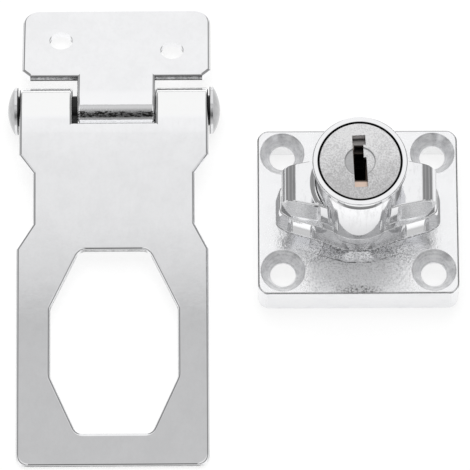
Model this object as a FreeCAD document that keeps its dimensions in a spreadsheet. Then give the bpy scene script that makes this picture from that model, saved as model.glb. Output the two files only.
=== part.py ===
import FreeCAD, Part

import math
import os

import Sketcher
from FreeCAD import Placement, Rotation, Vector

# Keyed hasp lock: a hinged hasp and a key-operated turn knob on a square base.
# Both lie face up on one flat surface, the hasp to the left of the lock.
# Millimetres. +X right, +Y away, +Z up; the origin is under the middle of the set.

SIZES = [
    ("plate_width", 40.0, "lock base along X"),
    ("plate_depth", 35.0, "lock base along Y"),
    ("plate_height", 8.0, "underside to top face of the lock base"),
    ("plate_corner", 2.3, "radius of the base's upright corners"),
    ("plate_edge", 0.35, "rounding of the base's top edge"),
    ("side_wall", 2.0, "side walls of the hollow base"),
    ("top_wall", 3.0, "top wall of the hollow base"),
    ("cavity_corner", 1.0, "inside corner radius of the hollow"),
    ("screw_span_x", 30.0, "screw holes, centre to centre along X"),
    ("screw_span_y", 25.0, "screw holes, centre to centre along Y"),
    ("screw_hole", 5.06, "diameter of the screw holes"),
    ("countersink", 8.9, "countersink diameter at the top face"),
    ("countersink_angle", 78.0, "countersink's full angle in degrees"),
    ("boss_height", 6.3, "raised boss above the base's top face"),
    ("boss_reach", 16.4, "half length of the boss"),
    ("boss_end_half", 2.8, "half width of the boss's end wall"),
    ("shoulder_reach", 14.2, "where the boss's end corner begins"),
    ("shoulder_half", 4.35, "half width of the boss there"),
    ("waist_reach", 8.1, "where the boss's arm meets its middle"),
    ("waist_half", 6.2, "half width of the boss there"),
    ("brow_reach", 2.8, "half length of the boss's front facet"),
    ("brow_half", 8.3, "half width of the boss's middle"),
    ("boss_draft", 5.85, "draft of the boss's side walls in degrees"),
    ("boss_corner", 1.5, "rounding of the boss's end corners"),
    ("boss_edge", 0.3, "rounding of the boss's top edge"),
    ("core_wall", 2.1, "metal left round the hollow in each boss arm"),
    ("core_start", 9.4, "inner end of the hollow in each boss arm"),
    ("collar_radius", 8.42, "round middle of the boss, and the knob's hub"),
    ("stem_radius", 5.4, "knob stem that turns in the base"),
    ("stem_clearance", 0.08, "radial running clearance of the stem"),
    ("stem_flat_half", 4.4, "half width across the flats at the stem's end"),
    ("knob_clearance", 0.1, "gap between knob and boss"),
    ("flange_height", 1.9, "knob's lower flange"),
    ("flange_reach", 14.0, "half length of the flange"),
    ("flange_end_half", 2.7, "half width of the flange's end"),
    ("flange_shoulder", 12.9, "where the flange's end corner begins"),
    ("wing_height", 9.2, "top of the wings above the knob's underside"),
    ("wing_reach", 15.3, "half length of the wings at their tips"),
    ("wing_tip_half", 3.2, "half width of the wing's tip face"),
    ("wing_shoulder", 14.4, "where the wing's end corner begins"),
    ("wing_shoulder_half", 3.95, "half width of the wing there"),
    ("wing_waist_half", 5.2, "half width of the wing at the waist"),
    ("wing_brow_half", 7.0, "half width of the wing plan inside the hub"),
    ("wing_toe_reach", 13.5, "half length of the wings at their lower edge"),
    ("wing_flat_reach", 12.2, "where the wing's top begins to round over"),
    ("wing_draft", 2.0, "draft of the wing's side faces in degrees"),
    ("wing_edge", 0.35, "rounding of the wing's top edges"),
    ("hub_fillet", 1.4, "blend from the hub to the wings"),
    ("hub_height", 19.0, "underside of the rim above the knob's underside"),
    ("rim_radius", 9.35, "knob's rim"),
    ("rim_height", 1.3, "thickness of the rim"),
    ("rim_edge", 0.22, "rounding of the rim's edges"),
    ("seat_depth", 1.0, "counterbore for the plug's head"),
    ("head_radius", 8.0, "plug's head"),
    ("head_clearance", 0.3, "gap round the plug's head"),
    ("head_height", 0.95, "thickness of the plug's head"),
    ("head_edge", 0.15, "rounding of the head's edge"),
    ("barrel_radius", 6.15, "plug's barrel"),
    ("barrel_clearance", 0.05, "radial running clearance of the barrel"),
    ("bore_floor", 2.6, "floor of the plug's bore above the knob's underside"),
    ("end_clearance", 0.1, "end gap of the plug's barrel and tail"),
    ("tail_radius", 2.9, "plug's tail"),
    ("keyway_width", 2.6, "width of the keyway"),
    ("keyway_length", 10.9, "length of the keyway across the face"),
    ("keyway_floor", 2.6, "metal below the keyway at the barrel's end"),
    ("keyway_turn", 2.5, "how far the keyway leans at rest, degrees"),
    ("ward_width", 0.5, "ward's reach into the keyway"),
    ("ward_low", 0.9, "lower end of the ward"),
    ("ward_high", 3.4, "upper end of the ward"),
    ("dish_radius", 3.0, "shallow round recess in the plug's face"),
    ("dish_depth", 0.35, "depth of that recess"),
    ("crank_radius", 0.9, "eccentric pin on the plug's tail"),
    ("bolt_throw", 1.5, "travel of the locking bolt, and the pin's offset"),
    ("bolt_half", 2.0, "half width of the locking bolt"),
    ("bolt_thick", 2.6, "thickness of the locking bolt"),
    ("bolt_level", 1.4, "bolt's underside above the base's top face"),
    ("bolt_clearance", 0.1, "gap round the bolt in the stem"),
    ("bolt_tip", 5.35, "rounded tip of the bolt, from the knob's axis"),
    ("bolt_tail", 2.6, "bolt's inner end, from the knob's axis"),
    ("crank_lead", 0.33, "lost motion of the pin in the bolt's slot"),
    ("crank_clearance", 0.05, "gap round the pin in the bolt's slot"),
    ("notch_depth", 0.2, "room beyond the bolt's tip in the base"),
    ("wafer_first", 1.9, "first wafer below the underside of the head"),
    ("wafer_pitch", 2.3, "spacing of the wafers"),
    ("wafer_thick", 0.9, "thickness of a wafer"),
    ("wafer_clearance", 0.05, "gap round a wafer in its slot"),
    ("wafer_half", 3.4, "half width of a wafer"),
    ("wafer_inset", 0.1, "wafer's ends inside the barrel"),
    ("wafer_travel", 0.5, "travel of a wafer"),
    ("window_half", 1.15, "half width of the wafer's key window"),
    ("window_length", 7.4, "length of the wafer's key window"),
    ("cut_step", 0.3, "difference between two key cut heights"),
    ("catch_level", 15.5, "retaining wafer below the underside of the head"),
    ("spur_reach", 4.8, "outer edge of the wafer's spring spur"),
    ("spur_length", 1.0, "length of the spur"),
    ("spring_radius", 0.5, "middle radius of the wafer springs"),
    ("spring_wire", 0.24, "wire diameter of the wafer springs"),
    ("spring_length", 3.15, "length of the wafer springs at rest"),
    ("well_clearance", 0.1, "gap round a spring in its well"),
    ("groove_depth", 0.65, "depth of the wafer grooves in the knob's bore"),
    ("washer_thick", 1.0, "thickness of the stop washer"),
    ("washer_radius", 7.6, "radius of the stop washer"),
    ("washer_clearance", 0.05, "gap between the stop washer and the stem"),
    ("tab_half", 1.5, "half width of the stop washer's tab"),
    ("tab_reach", 10.0, "end of the stop washer's tab"),
    ("stop_gap", 0.1, "gap between the tab and a stop"),
    ("stop_width", 2.4, "width of each stop post"),
    ("stop_start", 8.0, "inner side of each stop post"),
    ("spring_washer_thick", 0.3, "thickness of the cone spring washer"),
    ("spring_washer_rise", 0.2, "rise of the cone spring washer"),
    ("spring_washer_inner", 5.65, "inner radius of the cone spring washer"),
    ("spring_washer_outer", 7.3, "outer radius of the cone spring washer"),
    ("plain_washer_radius", 6.5, "washer under the retaining screw's head"),
    ("plain_washer_thick", 0.6, "thickness of that washer"),
    ("seat_gap", 0.03, "gap between stacked washers"),
    ("screw_radius", 1.73, "retaining screw's shank"),
    ("screw_length", 4.6, "retaining screw's shank length"),
    ("screw_clearance", 0.03, "gap round the retaining screw"),
    ("screw_head_radius", 3.3, "retaining screw's head"),
    ("screw_head_height", 1.5, "height of the retaining screw's head"),
    ("screw_head_round", 0.9, "rounding of the screw's head"),
    ("slot_reach", 1.7, "half length of the screw's cross recess"),
    ("slot_depth", 0.9, "depth of the screw's cross recess"),
    ("slot_half", 0.45, "half width of the screw's cross recess"),
    ("sheet_thick", 1.5, "hasp sheet"),
    ("sheet_edge", 0.55, "rounding of the hasp's face edges"),
    ("knuckle_radius", 4.6, "outside of the hinge knuckles"),
    ("pin_clearance", 0.05, "radial clearance of the hinge pin"),
    ("seam_gap", 0.5, "gap between the sheet's back and the end of its curl"),
    ("strap_width", 38.2, "hasp strap at its lower part"),
    ("strap_hinge_width", 37.8, "hasp strap at the hinge"),
    ("strap_shift", 0.3, "lower part of the strap stands off centre to the left"),
    ("strap_length", 74.45, "hinge axis to the strap's tip"),
    ("neck_width", 32.2, "hasp strap at its neck"),
    ("neck_shoulder_top", 10.48, "upper end of the upper shoulder"),
    ("neck_top", 14.25, "upper end of the neck"),
    ("neck_bottom", 24.76, "lower end of the neck"),
    ("neck_shoulder_bottom", 29.92, "lower end of the lower shoulder"),
    ("tip_corner", 2.4, "corner radius at the strap's tip"),
    ("window_width", 25.4, "octagonal window across the strap"),
    ("window_flat", 13.8, "window's near end flat"),
    ("window_foot", 14.8, "window's far end flat"),
    ("tip_bridge", 6.64, "strap's tip to the window's far end"),
    ("window_foot_rise", 11.66, "window's far end to its side flats"),
    ("window_side", 14.03, "length of the window's side flats"),
    ("window_head_rise", 11.9, "window's side flats to its near end"),
    ("window_corner", 2.0, "corner radius at the window's ends"),
    ("tongue_width", 15.6, "hinge leaf's middle knuckle"),
    ("tongue_clearance", 0.55, "gap at each side of the middle knuckle"),
    ("tongue_relief", 0.2, "strap cut back round the leaf's knuckle"),
    ("notch_floor", 3.79, "hinge axis to the floor of the strap's notch"),
    ("leaf_shift", 0.45, "hinge leaf stands off centre along the pin"),
    ("leaf_width", 37.8, "hinge leaf"),
    ("leaf_length", 23.33, "hinge axis to the leaf's far edge"),
    ("leaf_corner", 3.4, "corner radius at the leaf's far edge"),
    ("ear_start", 5.42, "hinge axis to the leaf's ears"),
    ("ear_chamfer", 1.6, "chamfer of the ears' outer corners"),
    ("leaf_hole", 4.7, "diameter of the leaf's screw holes"),
    ("leaf_hole_span", 22.4, "leaf's screw holes, centre to centre along X"),
    ("leaf_hole_left", 14.96, "hinge axis to the left screw hole"),
    ("leaf_hole_right", 12.18, "hinge axis to the right screw hole"),
    ("rivet_radius", 4.75, "domed heads of the hinge pin"),
    ("rivet_height", 2.1, "height of a domed head"),
    ("rivet_edge", 0.7, "upright edge of a domed head"),
    ("rivet_gap", 0.3, "gap between a head and the knuckle"),
    ("hasp_x", 48.7, "lock centre to the hasp's middle, along X"),
    ("hasp_y", 23.35, "lock centre to the hinge axis, along Y"),
    ("hasp_turn", 0.12, "how far the hasp lies turned, degrees"),
]

WAFER_CUTS = (2, -1, 1, 0, -2)  # key cut heights of the five wafers, in steps
SPRING_TURNS = 3
XY, XZ, YZ = "XY_Plane", "XZ_Plane", "YZ_Plane"

doc = FreeCAD.newDocument("keyed_hasp_lock")
sheet = doc.addObject("Spreadsheet::Sheet", "sizes")
for row, (alias, amount, meaning) in enumerate(SIZES, start=1):
    sheet.set("A%d" % row, alias)
    sheet.set("B%d" % row, str(amount))
    sheet.set("C%d" % row, meaning)
    sheet.setAlias("B%d" % row, alias)
doc.recompute()


class Size:
    """A number together with the sheet expression that gives it."""

    def __init__(self, value, text):
        self.value = value
        self.text = text

    def __add__(self, other):
        other = as_size(other)
        return Size(self.value + other.value, "(%s + %s)" % (self.text, other.text))

    def __sub__(self, other):
        other = as_size(other)
        return Size(self.value - other.value, "(%s - %s)" % (self.text, other.text))

    def __mul__(self, other):
        other = as_size(other)
        return Size(self.value * other.value, "(%s * %s)" % (self.text, other.text))

    def __truediv__(self, other):
        other = as_size(other)
        return Size(self.value / other.value, "(%s / %s)" % (self.text, other.text))

    def __radd__(self, other):
        return as_size(other) + self

    def __rsub__(self, other):
        return as_size(other) - self

    def __neg__(self):
        return Size(-self.value, "(-1 * %s)" % self.text)


def as_size(number):
    return number if isinstance(number, Size) else Size(float(number), repr(float(number)))


def size(alias):
    return Size(float(getattr(sheet, alias)), "sizes." + alias)


def root(number):
    return Size(math.sqrt(number.value), "sqrt(%s)" % number.text)


def tangent(degrees):
    return Size(math.tan(math.radians(degrees.value)), "tan(%s * 1 deg)" % degrees.text)


def cosine(degrees):
    return Size(math.cos(math.radians(degrees.value)), "cos(%s * 1 deg)" % degrees.text)


def sine(degrees):
    return Size(math.sin(math.radians(degrees.value)), "sin(%s * 1 deg)" % degrees.text)


def bind(thing, prop, number):
    """Ties a property to the sheet."""
    thing.setExpression(prop, as_size(number).text)


def new_body(label):
    body = doc.addObject("PartDesign::Body", label)
    body.Label = label
    return body


def plane_of(body, role):
    return [feature for feature in body.Origin.OriginFeatures if feature.Role == role][0]


def new_sketch(body, name, role, offset=None):
    """A sketch on one of the body's own planes, moved along the plane's normal."""
    sketch = body.newObject("Sketcher::SketchObject", name)
    sketch.AttachmentSupport = [(plane_of(body, role), "")]
    sketch.MapMode = "FlatFace"
    if offset is not None:
        bind(sketch, "AttachmentOffset.Base.z", offset)
    return sketch


def pin_point(sketch, edge, end, x, y):
    """Fixes one end of an edge at a place that the sheet gives."""
    for kind, axis, amount in (("DistanceX", -2, as_size(x)), ("DistanceY", -1, as_size(y))):
        if abs(amount.value) < 1e-9:
            sketch.addConstraint(Sketcher.Constraint("PointOnObject", edge, end, axis))
            continue
        index = sketch.addConstraint(Sketcher.Constraint(kind, -1, 1, edge, end, amount.value))
        bind(sketch, "Constraints[%d]" % index, amount)


def point(x, y):
    return Vector(as_size(x).value, as_size(y).value, 0)


def add_circle(sketch, x, y, radius):
    circle = Part.Circle(point(x, y), Vector(0, 0, 1), as_size(radius).value)
    edge = sketch.addGeometry(circle)
    pin_point(sketch, edge, 3, x, y)
    index = sketch.addConstraint(Sketcher.Constraint("Radius", edge, as_size(radius).value))
    bind(sketch, "Constraints[%d]" % index, radius)


def add_outline(sketch, steps):
    """A closed outline. A step is its start (x, y), or for an arc also its centre,
    radius and whether it runs anticlockwise: (x, y, (cx, cy), radius, True)."""
    starts = []
    ends = []
    for index, step in enumerate(steps):
        here = point(step[0], step[1])
        after = steps[(index + 1) % len(steps)]
        there = point(after[0], after[1])
        if len(step) == 2:
            edge = sketch.addGeometry(Part.LineSegment(here, there))
            starts.append((edge, 1))
            ends.append((edge, 2))
            continue
        centre = point(*step[2])
        first, last = (here, there) if step[4] else (there, here)
        angle_first = math.atan2(first.y - centre.y, first.x - centre.x)
        angle_last = math.atan2(last.y - centre.y, last.x - centre.x)
        circle = Part.Circle(centre, Vector(0, 0, 1), step[3].value)
        edge = sketch.addGeometry(Part.ArcOfCircle(circle, angle_first, angle_last))
        starts.append((edge, 1 if step[4] else 2))
        ends.append((edge, 2 if step[4] else 1))
        radius_index = sketch.addConstraint(Sketcher.Constraint("Radius", edge, step[3].value))
        bind(sketch, "Constraints[%d]" % radius_index, step[3])
    for index, step in enumerate(steps):
        edge, end = starts[index]
        before, before_end = ends[index - 1]
        sketch.addConstraint(Sketcher.Constraint("Coincident", before, before_end, edge, end))
        pin_point(sketch, edge, end, step[0], step[1])


def add_box(sketch, x_low, x_high, y_low, y_high):
    add_outline(sketch, [(x_low, y_low), (x_high, y_low), (x_high, y_high), (x_low, y_high)])


def pad(body, name, sketch, length, up=True, draft=None, both_ways=False):
    feature = body.newObject("PartDesign::Pad", name)
    feature.Profile = sketch
    bind(feature, "Length", length)
    feature.Reversed = not up
    if both_ways:
        feature.SideType = "Symmetric"
    if draft is not None:
        bind(feature, "TaperAngle", -draft)
    doc.recompute()
    return feature


def cut(body, name, sketch, length, up=True, both_ways=False):
    """A pocket that runs along +Z of its sketch's plane, or down, and must remove metal."""
    before = body.Shape.Volume
    feature = body.newObject("PartDesign::Pocket", name)
    feature.Profile = sketch
    bind(feature, "Length", length)
    feature.Reversed = up
    if both_ways:
        feature.SideType = "Symmetric"
    doc.recompute()
    if not body.Shape.Volume < before:
        raise RuntimeError("%s of %s cuts nothing" % (name, body.Label))
    return feature


def turn(body, name, sketch, axis="V_Axis", remove=False):
    feature = body.newObject("PartDesign::Groove" if remove else "PartDesign::Revolution", name)
    feature.Profile = sketch
    feature.ReferenceAxis = (sketch, [axis])
    feature.Angle = 360
    doc.recompute()
    return feature


def round_edges(body, name, radius, wanted):
    """Fillets the edges of the body that the test picks by their place."""
    base = body.Tip
    names = ["Edge%d" % (index + 1) for index, edge in enumerate(base.Shape.Edges) if wanted(edge)]
    if not names:
        raise RuntimeError("%s of %s finds no edge" % (name, body.Label))
    feature = body.newObject("PartDesign::Fillet", name)
    feature.Base = (base, names)
    bind(feature, "Radius", radius)
    doc.recompute()
    return feature


def near(value, target):
    return abs(value - target.value) < 1e-4


def flat_at(edge, level):
    """True for an edge that lies in the horizontal plane at that level."""
    return near(edge.BoundBox.ZMin, level) and near(edge.BoundBox.ZMax, level)


def upright(edge):
    return edge.BoundBox.XLength < 1e-4 and edge.BoundBox.YLength < 1e-4


def mirrored(quadrant):
    """The whole outline from its corners in the first quadrant, anticlockwise."""
    back = [(-x, y) for x, y in reversed(quadrant)]
    return quadrant + back + [(-x, -y) for x, y in quadrant] + [(x, -y) for x, y in reversed(quadrant)]


def add_rounded_box(sketch, half_x, half_y, radius):
    """A centred box with round corners."""
    x, y = half_x - radius, half_y - radius
    steps = []
    for side_x, side_y in ((1, 1), (-1, 1), (-1, -1), (1, -1)):
        on_x = (half_x * side_x, y * side_y)
        on_y = (x * side_x, half_y * side_y)
        first, second = (on_x, on_y) if side_x * side_y > 0 else (on_y, on_x)
        steps.append((first[0], first[1], (x * side_x, y * side_y), radius, True))
        steps.append(second)
    add_outline(sketch, steps)


def add_keyway(sketch):
    """The key's slot, turned to its place at rest, with a ward at the upper right."""
    half, end = size("keyway_width") / 2, size("keyway_length") / 2
    ward = half - size("ward_width")
    corners = [
        (half, -end), (half, size("ward_low")), (ward, size("ward_low")),
        (ward, size("ward_high")), (half, size("ward_high")), (half, end), (-half, end), (-half, -end),
    ]
    c, s = cosine(size("keyway_turn")), sine(size("keyway_turn"))
    add_outline(sketch, [(x * c - y * s, x * s + y * c) for x, y in corners])


# Levels and fits that several pieces share, above the surface the lock lies on.
plate_top = size("plate_height")
ceiling = plate_top - size("top_wall")
boss_top = plate_top + size("boss_height")
knob_level = boss_top + size("knob_clearance")
channel_low = plate_top + size("bolt_level") - size("bolt_clearance") - knob_level
channel_high = channel_low + size("bolt_thick") + size("bolt_clearance") * 2
stem_bore = size("stem_radius") + size("stem_clearance")
notch_half = size("bolt_half") + size("bolt_clearance")
notch_reach = size("bolt_tip") + size("bolt_throw") + size("notch_depth")
spring_washer_level = ceiling - size("seat_gap") - size("spring_washer_rise") - size("spring_washer_thick")
stop_washer_level = spring_washer_level - size("seat_gap") - size("washer_thick")
plain_washer_level = stop_washer_level - size("seat_gap") - size("plain_washer_thick")
screw_level = plain_washer_level - size("seat_gap")
stem_low = stop_washer_level - knob_level
seat_level = size("hub_height") + size("rim_height") - size("seat_depth")
knob_top = size("hub_height") + size("rim_height")
bore_radius = size("barrel_radius") + size("barrel_clearance")
barrel_low = size("bore_floor") + size("end_clearance") - seat_level
tail_low = channel_high + size("end_clearance") - seat_level
slot_half = size("wafer_half") + size("wafer_clearance")
slot_high = size("wafer_thick") + size("wafer_clearance") * 2
last_wafer = size("wafer_first") + size("wafer_pitch") * (len(WAFER_CUTS) - 1)
wafer_levels = [-(size("wafer_first") + size("wafer_pitch") * index) for index in range(len(WAFER_CUTS))]
catch_level = -size("catch_level")
groove_radius = bore_radius + size("groove_depth")
spring_x = slot_half + size("spring_radius") + size("spring_wire") / 2 + size("well_clearance") / 2
spring_low = -(size("spring_length") + size("seat_gap"))


# The lock's base: a hollow cast block with a drafted boss.
base = new_body("lock_base")
sketch = new_sketch(base, "base_outline", XY)
add_box(sketch, -(size("plate_width") / 2), size("plate_width") / 2,
        -(size("plate_depth") / 2), size("plate_depth") / 2)
pad(base, "base_block", sketch, plate_top)
round_edges(base, "base_corners", size("plate_corner"), upright)
round_edges(base, "base_top_edge", size("plate_edge"), lambda edge: flat_at(edge, plate_top))

sketch = new_sketch(base, "hollow_outline", XY)
add_rounded_box(sketch, size("plate_width") / 2 - size("side_wall"),
                size("plate_depth") / 2 - size("side_wall"), size("cavity_corner"))
cut(base, "hollow", sketch, ceiling)

sketch = new_sketch(base, "boss_outline", XY, plate_top)
add_outline(sketch, mirrored([
    (size("boss_reach"), size("boss_end_half")),
    (size("shoulder_reach"), size("shoulder_half")),
    (size("waist_reach"), size("waist_half")),
    (size("brow_reach"), size("brow_half")),
]))
pad(base, "boss", sketch, size("boss_height"), draft=size("boss_draft"))
round_edges(base, "boss_corners", size("boss_corner"), lambda edge: (
    edge.BoundBox.ZMin > plate_top.value - 0.01
    and edge.BoundBox.ZLength > size("boss_height").value / 2
    and abs(edge.CenterOfMass.x) > size("shoulder_reach").value + 0.5))
sketch = new_sketch(base, "collar_outline", XY, plate_top)
add_circle(sketch, 0, 0, size("collar_radius"))
pad(base, "collar", sketch, size("boss_height"))
round_edges(base, "boss_top_edge", size("boss_edge"), lambda edge: flat_at(edge, boss_top))

sketch = new_sketch(base, "stem_bore_outline", XY)
add_circle(sketch, 0, 0, stem_bore)
cut(base, "stem_bore", sketch, boss_top + size("boss_edge"))
sketch = new_sketch(base, "bolt_notch_outlines", XY)
add_box(sketch, stem_bore / 2, notch_reach, -notch_half, notch_half)
add_box(sketch, -notch_half, notch_half, stem_bore / 2, notch_reach)
cut(base, "bolt_notches", sketch, knob_level + channel_high)

core_half = size("shoulder_half") - size("core_wall")
core_reach = size("boss_reach") - size("core_wall")
sketch = new_sketch(base, "core_outlines", XY)
add_box(sketch, size("core_start"), core_reach, -core_half, core_half)
add_box(sketch, -core_reach, -size("core_start"), -core_half, core_half)
cut(base, "boss_cores", sketch, boss_top - size("core_wall"))

# Two posts under the top wall stop the tabbed washer a quarter turn apart.
stop_side = size("tab_half") + size("stop_gap")
stop_low = stop_washer_level - size("stop_gap")
sketch = new_sketch(base, "stop_outlines", XY, stop_low)
add_box(sketch, size("stop_start"), size("stop_start") + size("stop_width"),
        -(stop_side + size("stop_width")), -stop_side)
add_box(sketch, -(stop_side + size("stop_width")), -stop_side,
        size("stop_start"), size("stop_start") + size("stop_width"))
pad(base, "stop_posts", sketch, ceiling - stop_low)

sketch = new_sketch(base, "screw_hole_places", XY, plate_top)
for side_x in (1, -1):
    for side_y in (1, -1):
        add_circle(sketch, size("screw_span_x") / 2 * side_x, size("screw_span_y") / 2 * side_y,
                   size("screw_hole") / 2)
doc.recompute()
holes = base.newObject("PartDesign::Hole", "screw_holes")
holes.Profile = sketch
holes.DepthType = "ThroughAll"
holes.HoleCutType = "Countersink"
bind(holes, "Diameter", size("screw_hole"))
bind(holes, "HoleCutDiameter", size("countersink"))
bind(holes, "HoleCutCountersinkAngle", size("countersink_angle"))
doc.recompute()


# The knob: drafted wings and flange round a turned hub, rim and stem.
knob = new_body("turn_knob")
flange_inset = (size("boss_height") + size("knob_clearance")) * tangent(size("boss_draft"))
arm_slope = (size("shoulder_half") - size("waist_half")) / (size("shoulder_reach") - size("waist_reach"))
flange_shoulder_half = (size("waist_half") - flange_inset
                        + arm_slope * (size("flange_shoulder") - size("waist_reach")))
sketch = new_sketch(knob, "flange_outline", XY)
add_outline(sketch, mirrored([
    (size("flange_reach"), size("flange_end_half")),
    (size("flange_shoulder"), flange_shoulder_half),
    (size("waist_reach"), size("waist_half") - flange_inset),
    (size("brow_reach"), size("brow_half") - flange_inset),
]))
pad(knob, "flange", sketch, size("flange_height"), draft=size("boss_draft"))
sketch = new_sketch(knob, "wing_outline", XY, size("flange_height"))
add_outline(sketch, mirrored([
    (size("wing_reach") + size("wing_edge"), size("wing_tip_half")),
    (size("wing_shoulder"), size("wing_shoulder_half")),
    (size("waist_reach"), size("wing_waist_half")),
    (size("brow_reach"), size("wing_brow_half")),
]))
pad(knob, "wings", sketch, size("wing_height") - size("flange_height"), draft=size("wing_draft"))

# Each wing's end rounds over from its flat top and runs in to a narrower toe.
wing_round = size("wing_reach") - size("wing_flat_reach")
wing_shoulder_level = size("wing_height") - wing_round
beyond = size("wing_reach") + size("wing_edge") * 4
above = size("wing_height") + size("wing_edge") * 4
sketch = new_sketch(knob, "wing_end_cuts", XZ)
for side in (1, -1):
    add_outline(sketch, [
        (size("wing_flat_reach") * side, size("wing_height"),
         (size("wing_flat_reach") * side, wing_shoulder_level), wing_round, side < 0),
        (size("wing_reach") * side, wing_shoulder_level),
        (size("wing_toe_reach") * side, size("flange_height")),
        (beyond * side, size("flange_height")),
        (beyond * side, above),
        (size("wing_flat_reach") * side, above),
    ])
cut(knob, "wing_ends", sketch, size("waist_half") * 4, both_ways=True)
round_edges(knob, "wing_edges", size("wing_edge"), lambda edge: (
    flat_at(edge, size("wing_height")) and edge.BoundBox.XLength > 0.01))

sketch = new_sketch(knob, "hub_profile", XZ)
add_outline(sketch, [
    (0, stem_low),
    (size("stem_radius"), stem_low),
    (size("stem_radius"), 0),
    (size("collar_radius"), 0),
    (size("collar_radius"), size("hub_height")),
    (size("rim_radius"), size("hub_height")),
    (size("rim_radius"), knob_top),
    (0, knob_top),
])
turn(knob, "hub", sketch)
round_edges(knob, "hub_blend", size("hub_fillet"), lambda edge: (
    flat_at(edge, size("wing_height"))
    and abs(math.hypot(edge.CenterOfMass.x, edge.CenterOfMass.y)) > size("collar_radius").value * 0.7
    and edge.BoundBox.YLength > size("wing_waist_half").value))
round_edges(knob, "rim_edges", size("rim_edge"), lambda edge: (
    flat_at(edge, knob_top) and edge.Length > size("rim_radius").value * 6))

catch_half = size("wafer_thick") / 2 + size("well_clearance")
catch_height = seat_level + catch_level
tail_room = size("tail_radius") + size("well_clearance")
crank_room = size("bolt_throw") + size("crank_radius") + size("bolt_clearance")
sketch = new_sketch(knob, "bore_profile", XZ)
add_outline(sketch, [
    (0, channel_low),
    (crank_room, channel_low),
    (crank_room, channel_high),
    (tail_room, channel_high),
    (tail_room, size("bore_floor")),
    (bore_radius, size("bore_floor")),
    (bore_radius, catch_height - catch_half),
    (groove_radius, catch_height - catch_half),
    (groove_radius, catch_height + catch_half),
    (bore_radius, catch_height + catch_half),
    (bore_radius, seat_level),
    (size("head_radius") + size("head_clearance"), seat_level),
    (size("head_radius") + size("head_clearance"), knob_top),
    (0, knob_top),
])
turn(knob, "plug_bore", sketch, remove=True)

wafer_room = slot_half + size("well_clearance")
sketch = new_sketch(knob, "wafer_groove_outlines", XY, seat_level)
add_box(sketch, -wafer_room, wafer_room, bore_radius / 2 + wafer_room / 2, groove_radius)
add_box(sketch, -groove_radius, -(bore_radius / 2 + wafer_room / 2), -wafer_room, wafer_room)
cut(knob, "wafer_grooves", sketch, last_wafer + size("wafer_thick"), up=False)

sketch = new_sketch(knob, "bolt_channel_outline", XY, channel_low)
add_box(sketch, -(size("bolt_tail") + size("bolt_clearance")), size("stem_radius") * 2,
        -notch_half, notch_half)
cut(knob, "bolt_channel", sketch, channel_high - channel_low)

sketch = new_sketch(knob, "stem_flat_outlines", XY, stem_low)
for low, high in ((size("stem_flat_half"), size("stem_radius") * 2),
                  (-(size("stem_radius") * 2), -size("stem_flat_half"))):
    add_box(sketch, -(size("stem_radius") * 2), size("stem_radius") * 2, low, high)
cut(knob, "stem_flats", sketch, size("washer_thick") + size("seat_gap"))
sketch = new_sketch(knob, "stem_screw_outline", XY, stem_low)
add_circle(sketch, 0, 0, size("screw_radius") + size("screw_clearance"))
cut(knob, "stem_screw_hole", sketch, size("screw_length"))
bind(knob, "Placement.Base.z", knob_level)


# The plug: turned head, barrel, tail and eccentric pin, cut for key and wafers.
plug = new_body("key_plug")
sketch = new_sketch(plug, "plug_profile", XZ)
add_outline(sketch, [
    (0, tail_low),
    (size("tail_radius"), tail_low),
    (size("tail_radius"), barrel_low),
    (size("barrel_radius"), barrel_low),
    (size("barrel_radius"), 0),
    (size("head_radius"), 0),
    (size("head_radius"), size("head_height")),
    (0, size("head_height")),
])
turn(plug, "plug_round", sketch)
round_edges(plug, "head_edge", size("head_edge"), lambda edge: flat_at(edge, size("head_height")))
sketch = new_sketch(plug, "crank_outline", XY, tail_low)
add_circle(sketch, 0, -size("bolt_throw"), size("crank_radius"))
pad(plug, "crank_pin", sketch, size("bolt_thick") + size("end_clearance"), up=False)
sketch = new_sketch(plug, "dish_outline", XY, size("head_height"))
add_circle(sketch, 0, 0, size("dish_radius"))
cut(plug, "face_dish", sketch, size("dish_depth"), up=False)

# The keyway stands square to the wafers; a ward narrows it on the right.
sketch = new_sketch(plug, "keyway_outline", XY, size("head_height"))
add_keyway(sketch)
cut(plug, "keyway", sketch, size("head_height") - barrel_low - size("keyway_floor"), up=False)

slot_levels = wafer_levels + [catch_level]
sketch = new_sketch(plug, "wafer_slot_outlines", XZ)
for level in slot_levels:
    add_box(sketch, -slot_half, slot_half, level - slot_high / 2, level + slot_high / 2)
cut(plug, "wafer_slots", sketch, size("barrel_radius") * 4, both_ways=True)
well_half = size("spring_radius") + size("spring_wire") / 2 + size("well_clearance") / 2
well_end = size("spur_length") + size("wafer_travel") + size("well_clearance")
sketch = new_sketch(plug, "spring_well_outlines", YZ, slot_half)
for level in slot_levels:
    add_box(sketch, spring_low, well_end, level - well_half, level + well_half)
cut(plug, "spring_wells", sketch, well_half * 2)
plug.Placement = Placement(Vector(0, 0, (knob_level + seat_level).value), Rotation())


# Wafers and their springs, in the plug's own frame.
def make_wafer(label, level, key_cut, shift):
    wafer = new_body(label)
    radius = size("barrel_radius") - size("wafer_inset")
    half = size("wafer_half")
    end = root(radius * radius - half * half)
    middle = size("cut_step") * key_cut
    outline = new_sketch(wafer, label + "_outline", XY)
    add_outline(outline, [
        (half, -end),
        (half, 0),
        (size("spur_reach"), 0),
        (size("spur_reach"), size("spur_length")),
        (half, size("spur_length")),
        (half, end, (0, 0), radius, True),
        (-half, end),
        (-half, -end, (0, 0), radius, True),
    ])
    add_box(outline, -size("window_half"), size("window_half"),
            middle - size("window_length") / 2, middle + size("window_length") / 2)
    pad(wafer, label + "_sheet", outline, size("wafer_thick"), both_ways=True)
    place_in_plug(wafer, Vector(0, shift.value, level.value), Rotation())
    return wafer


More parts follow.
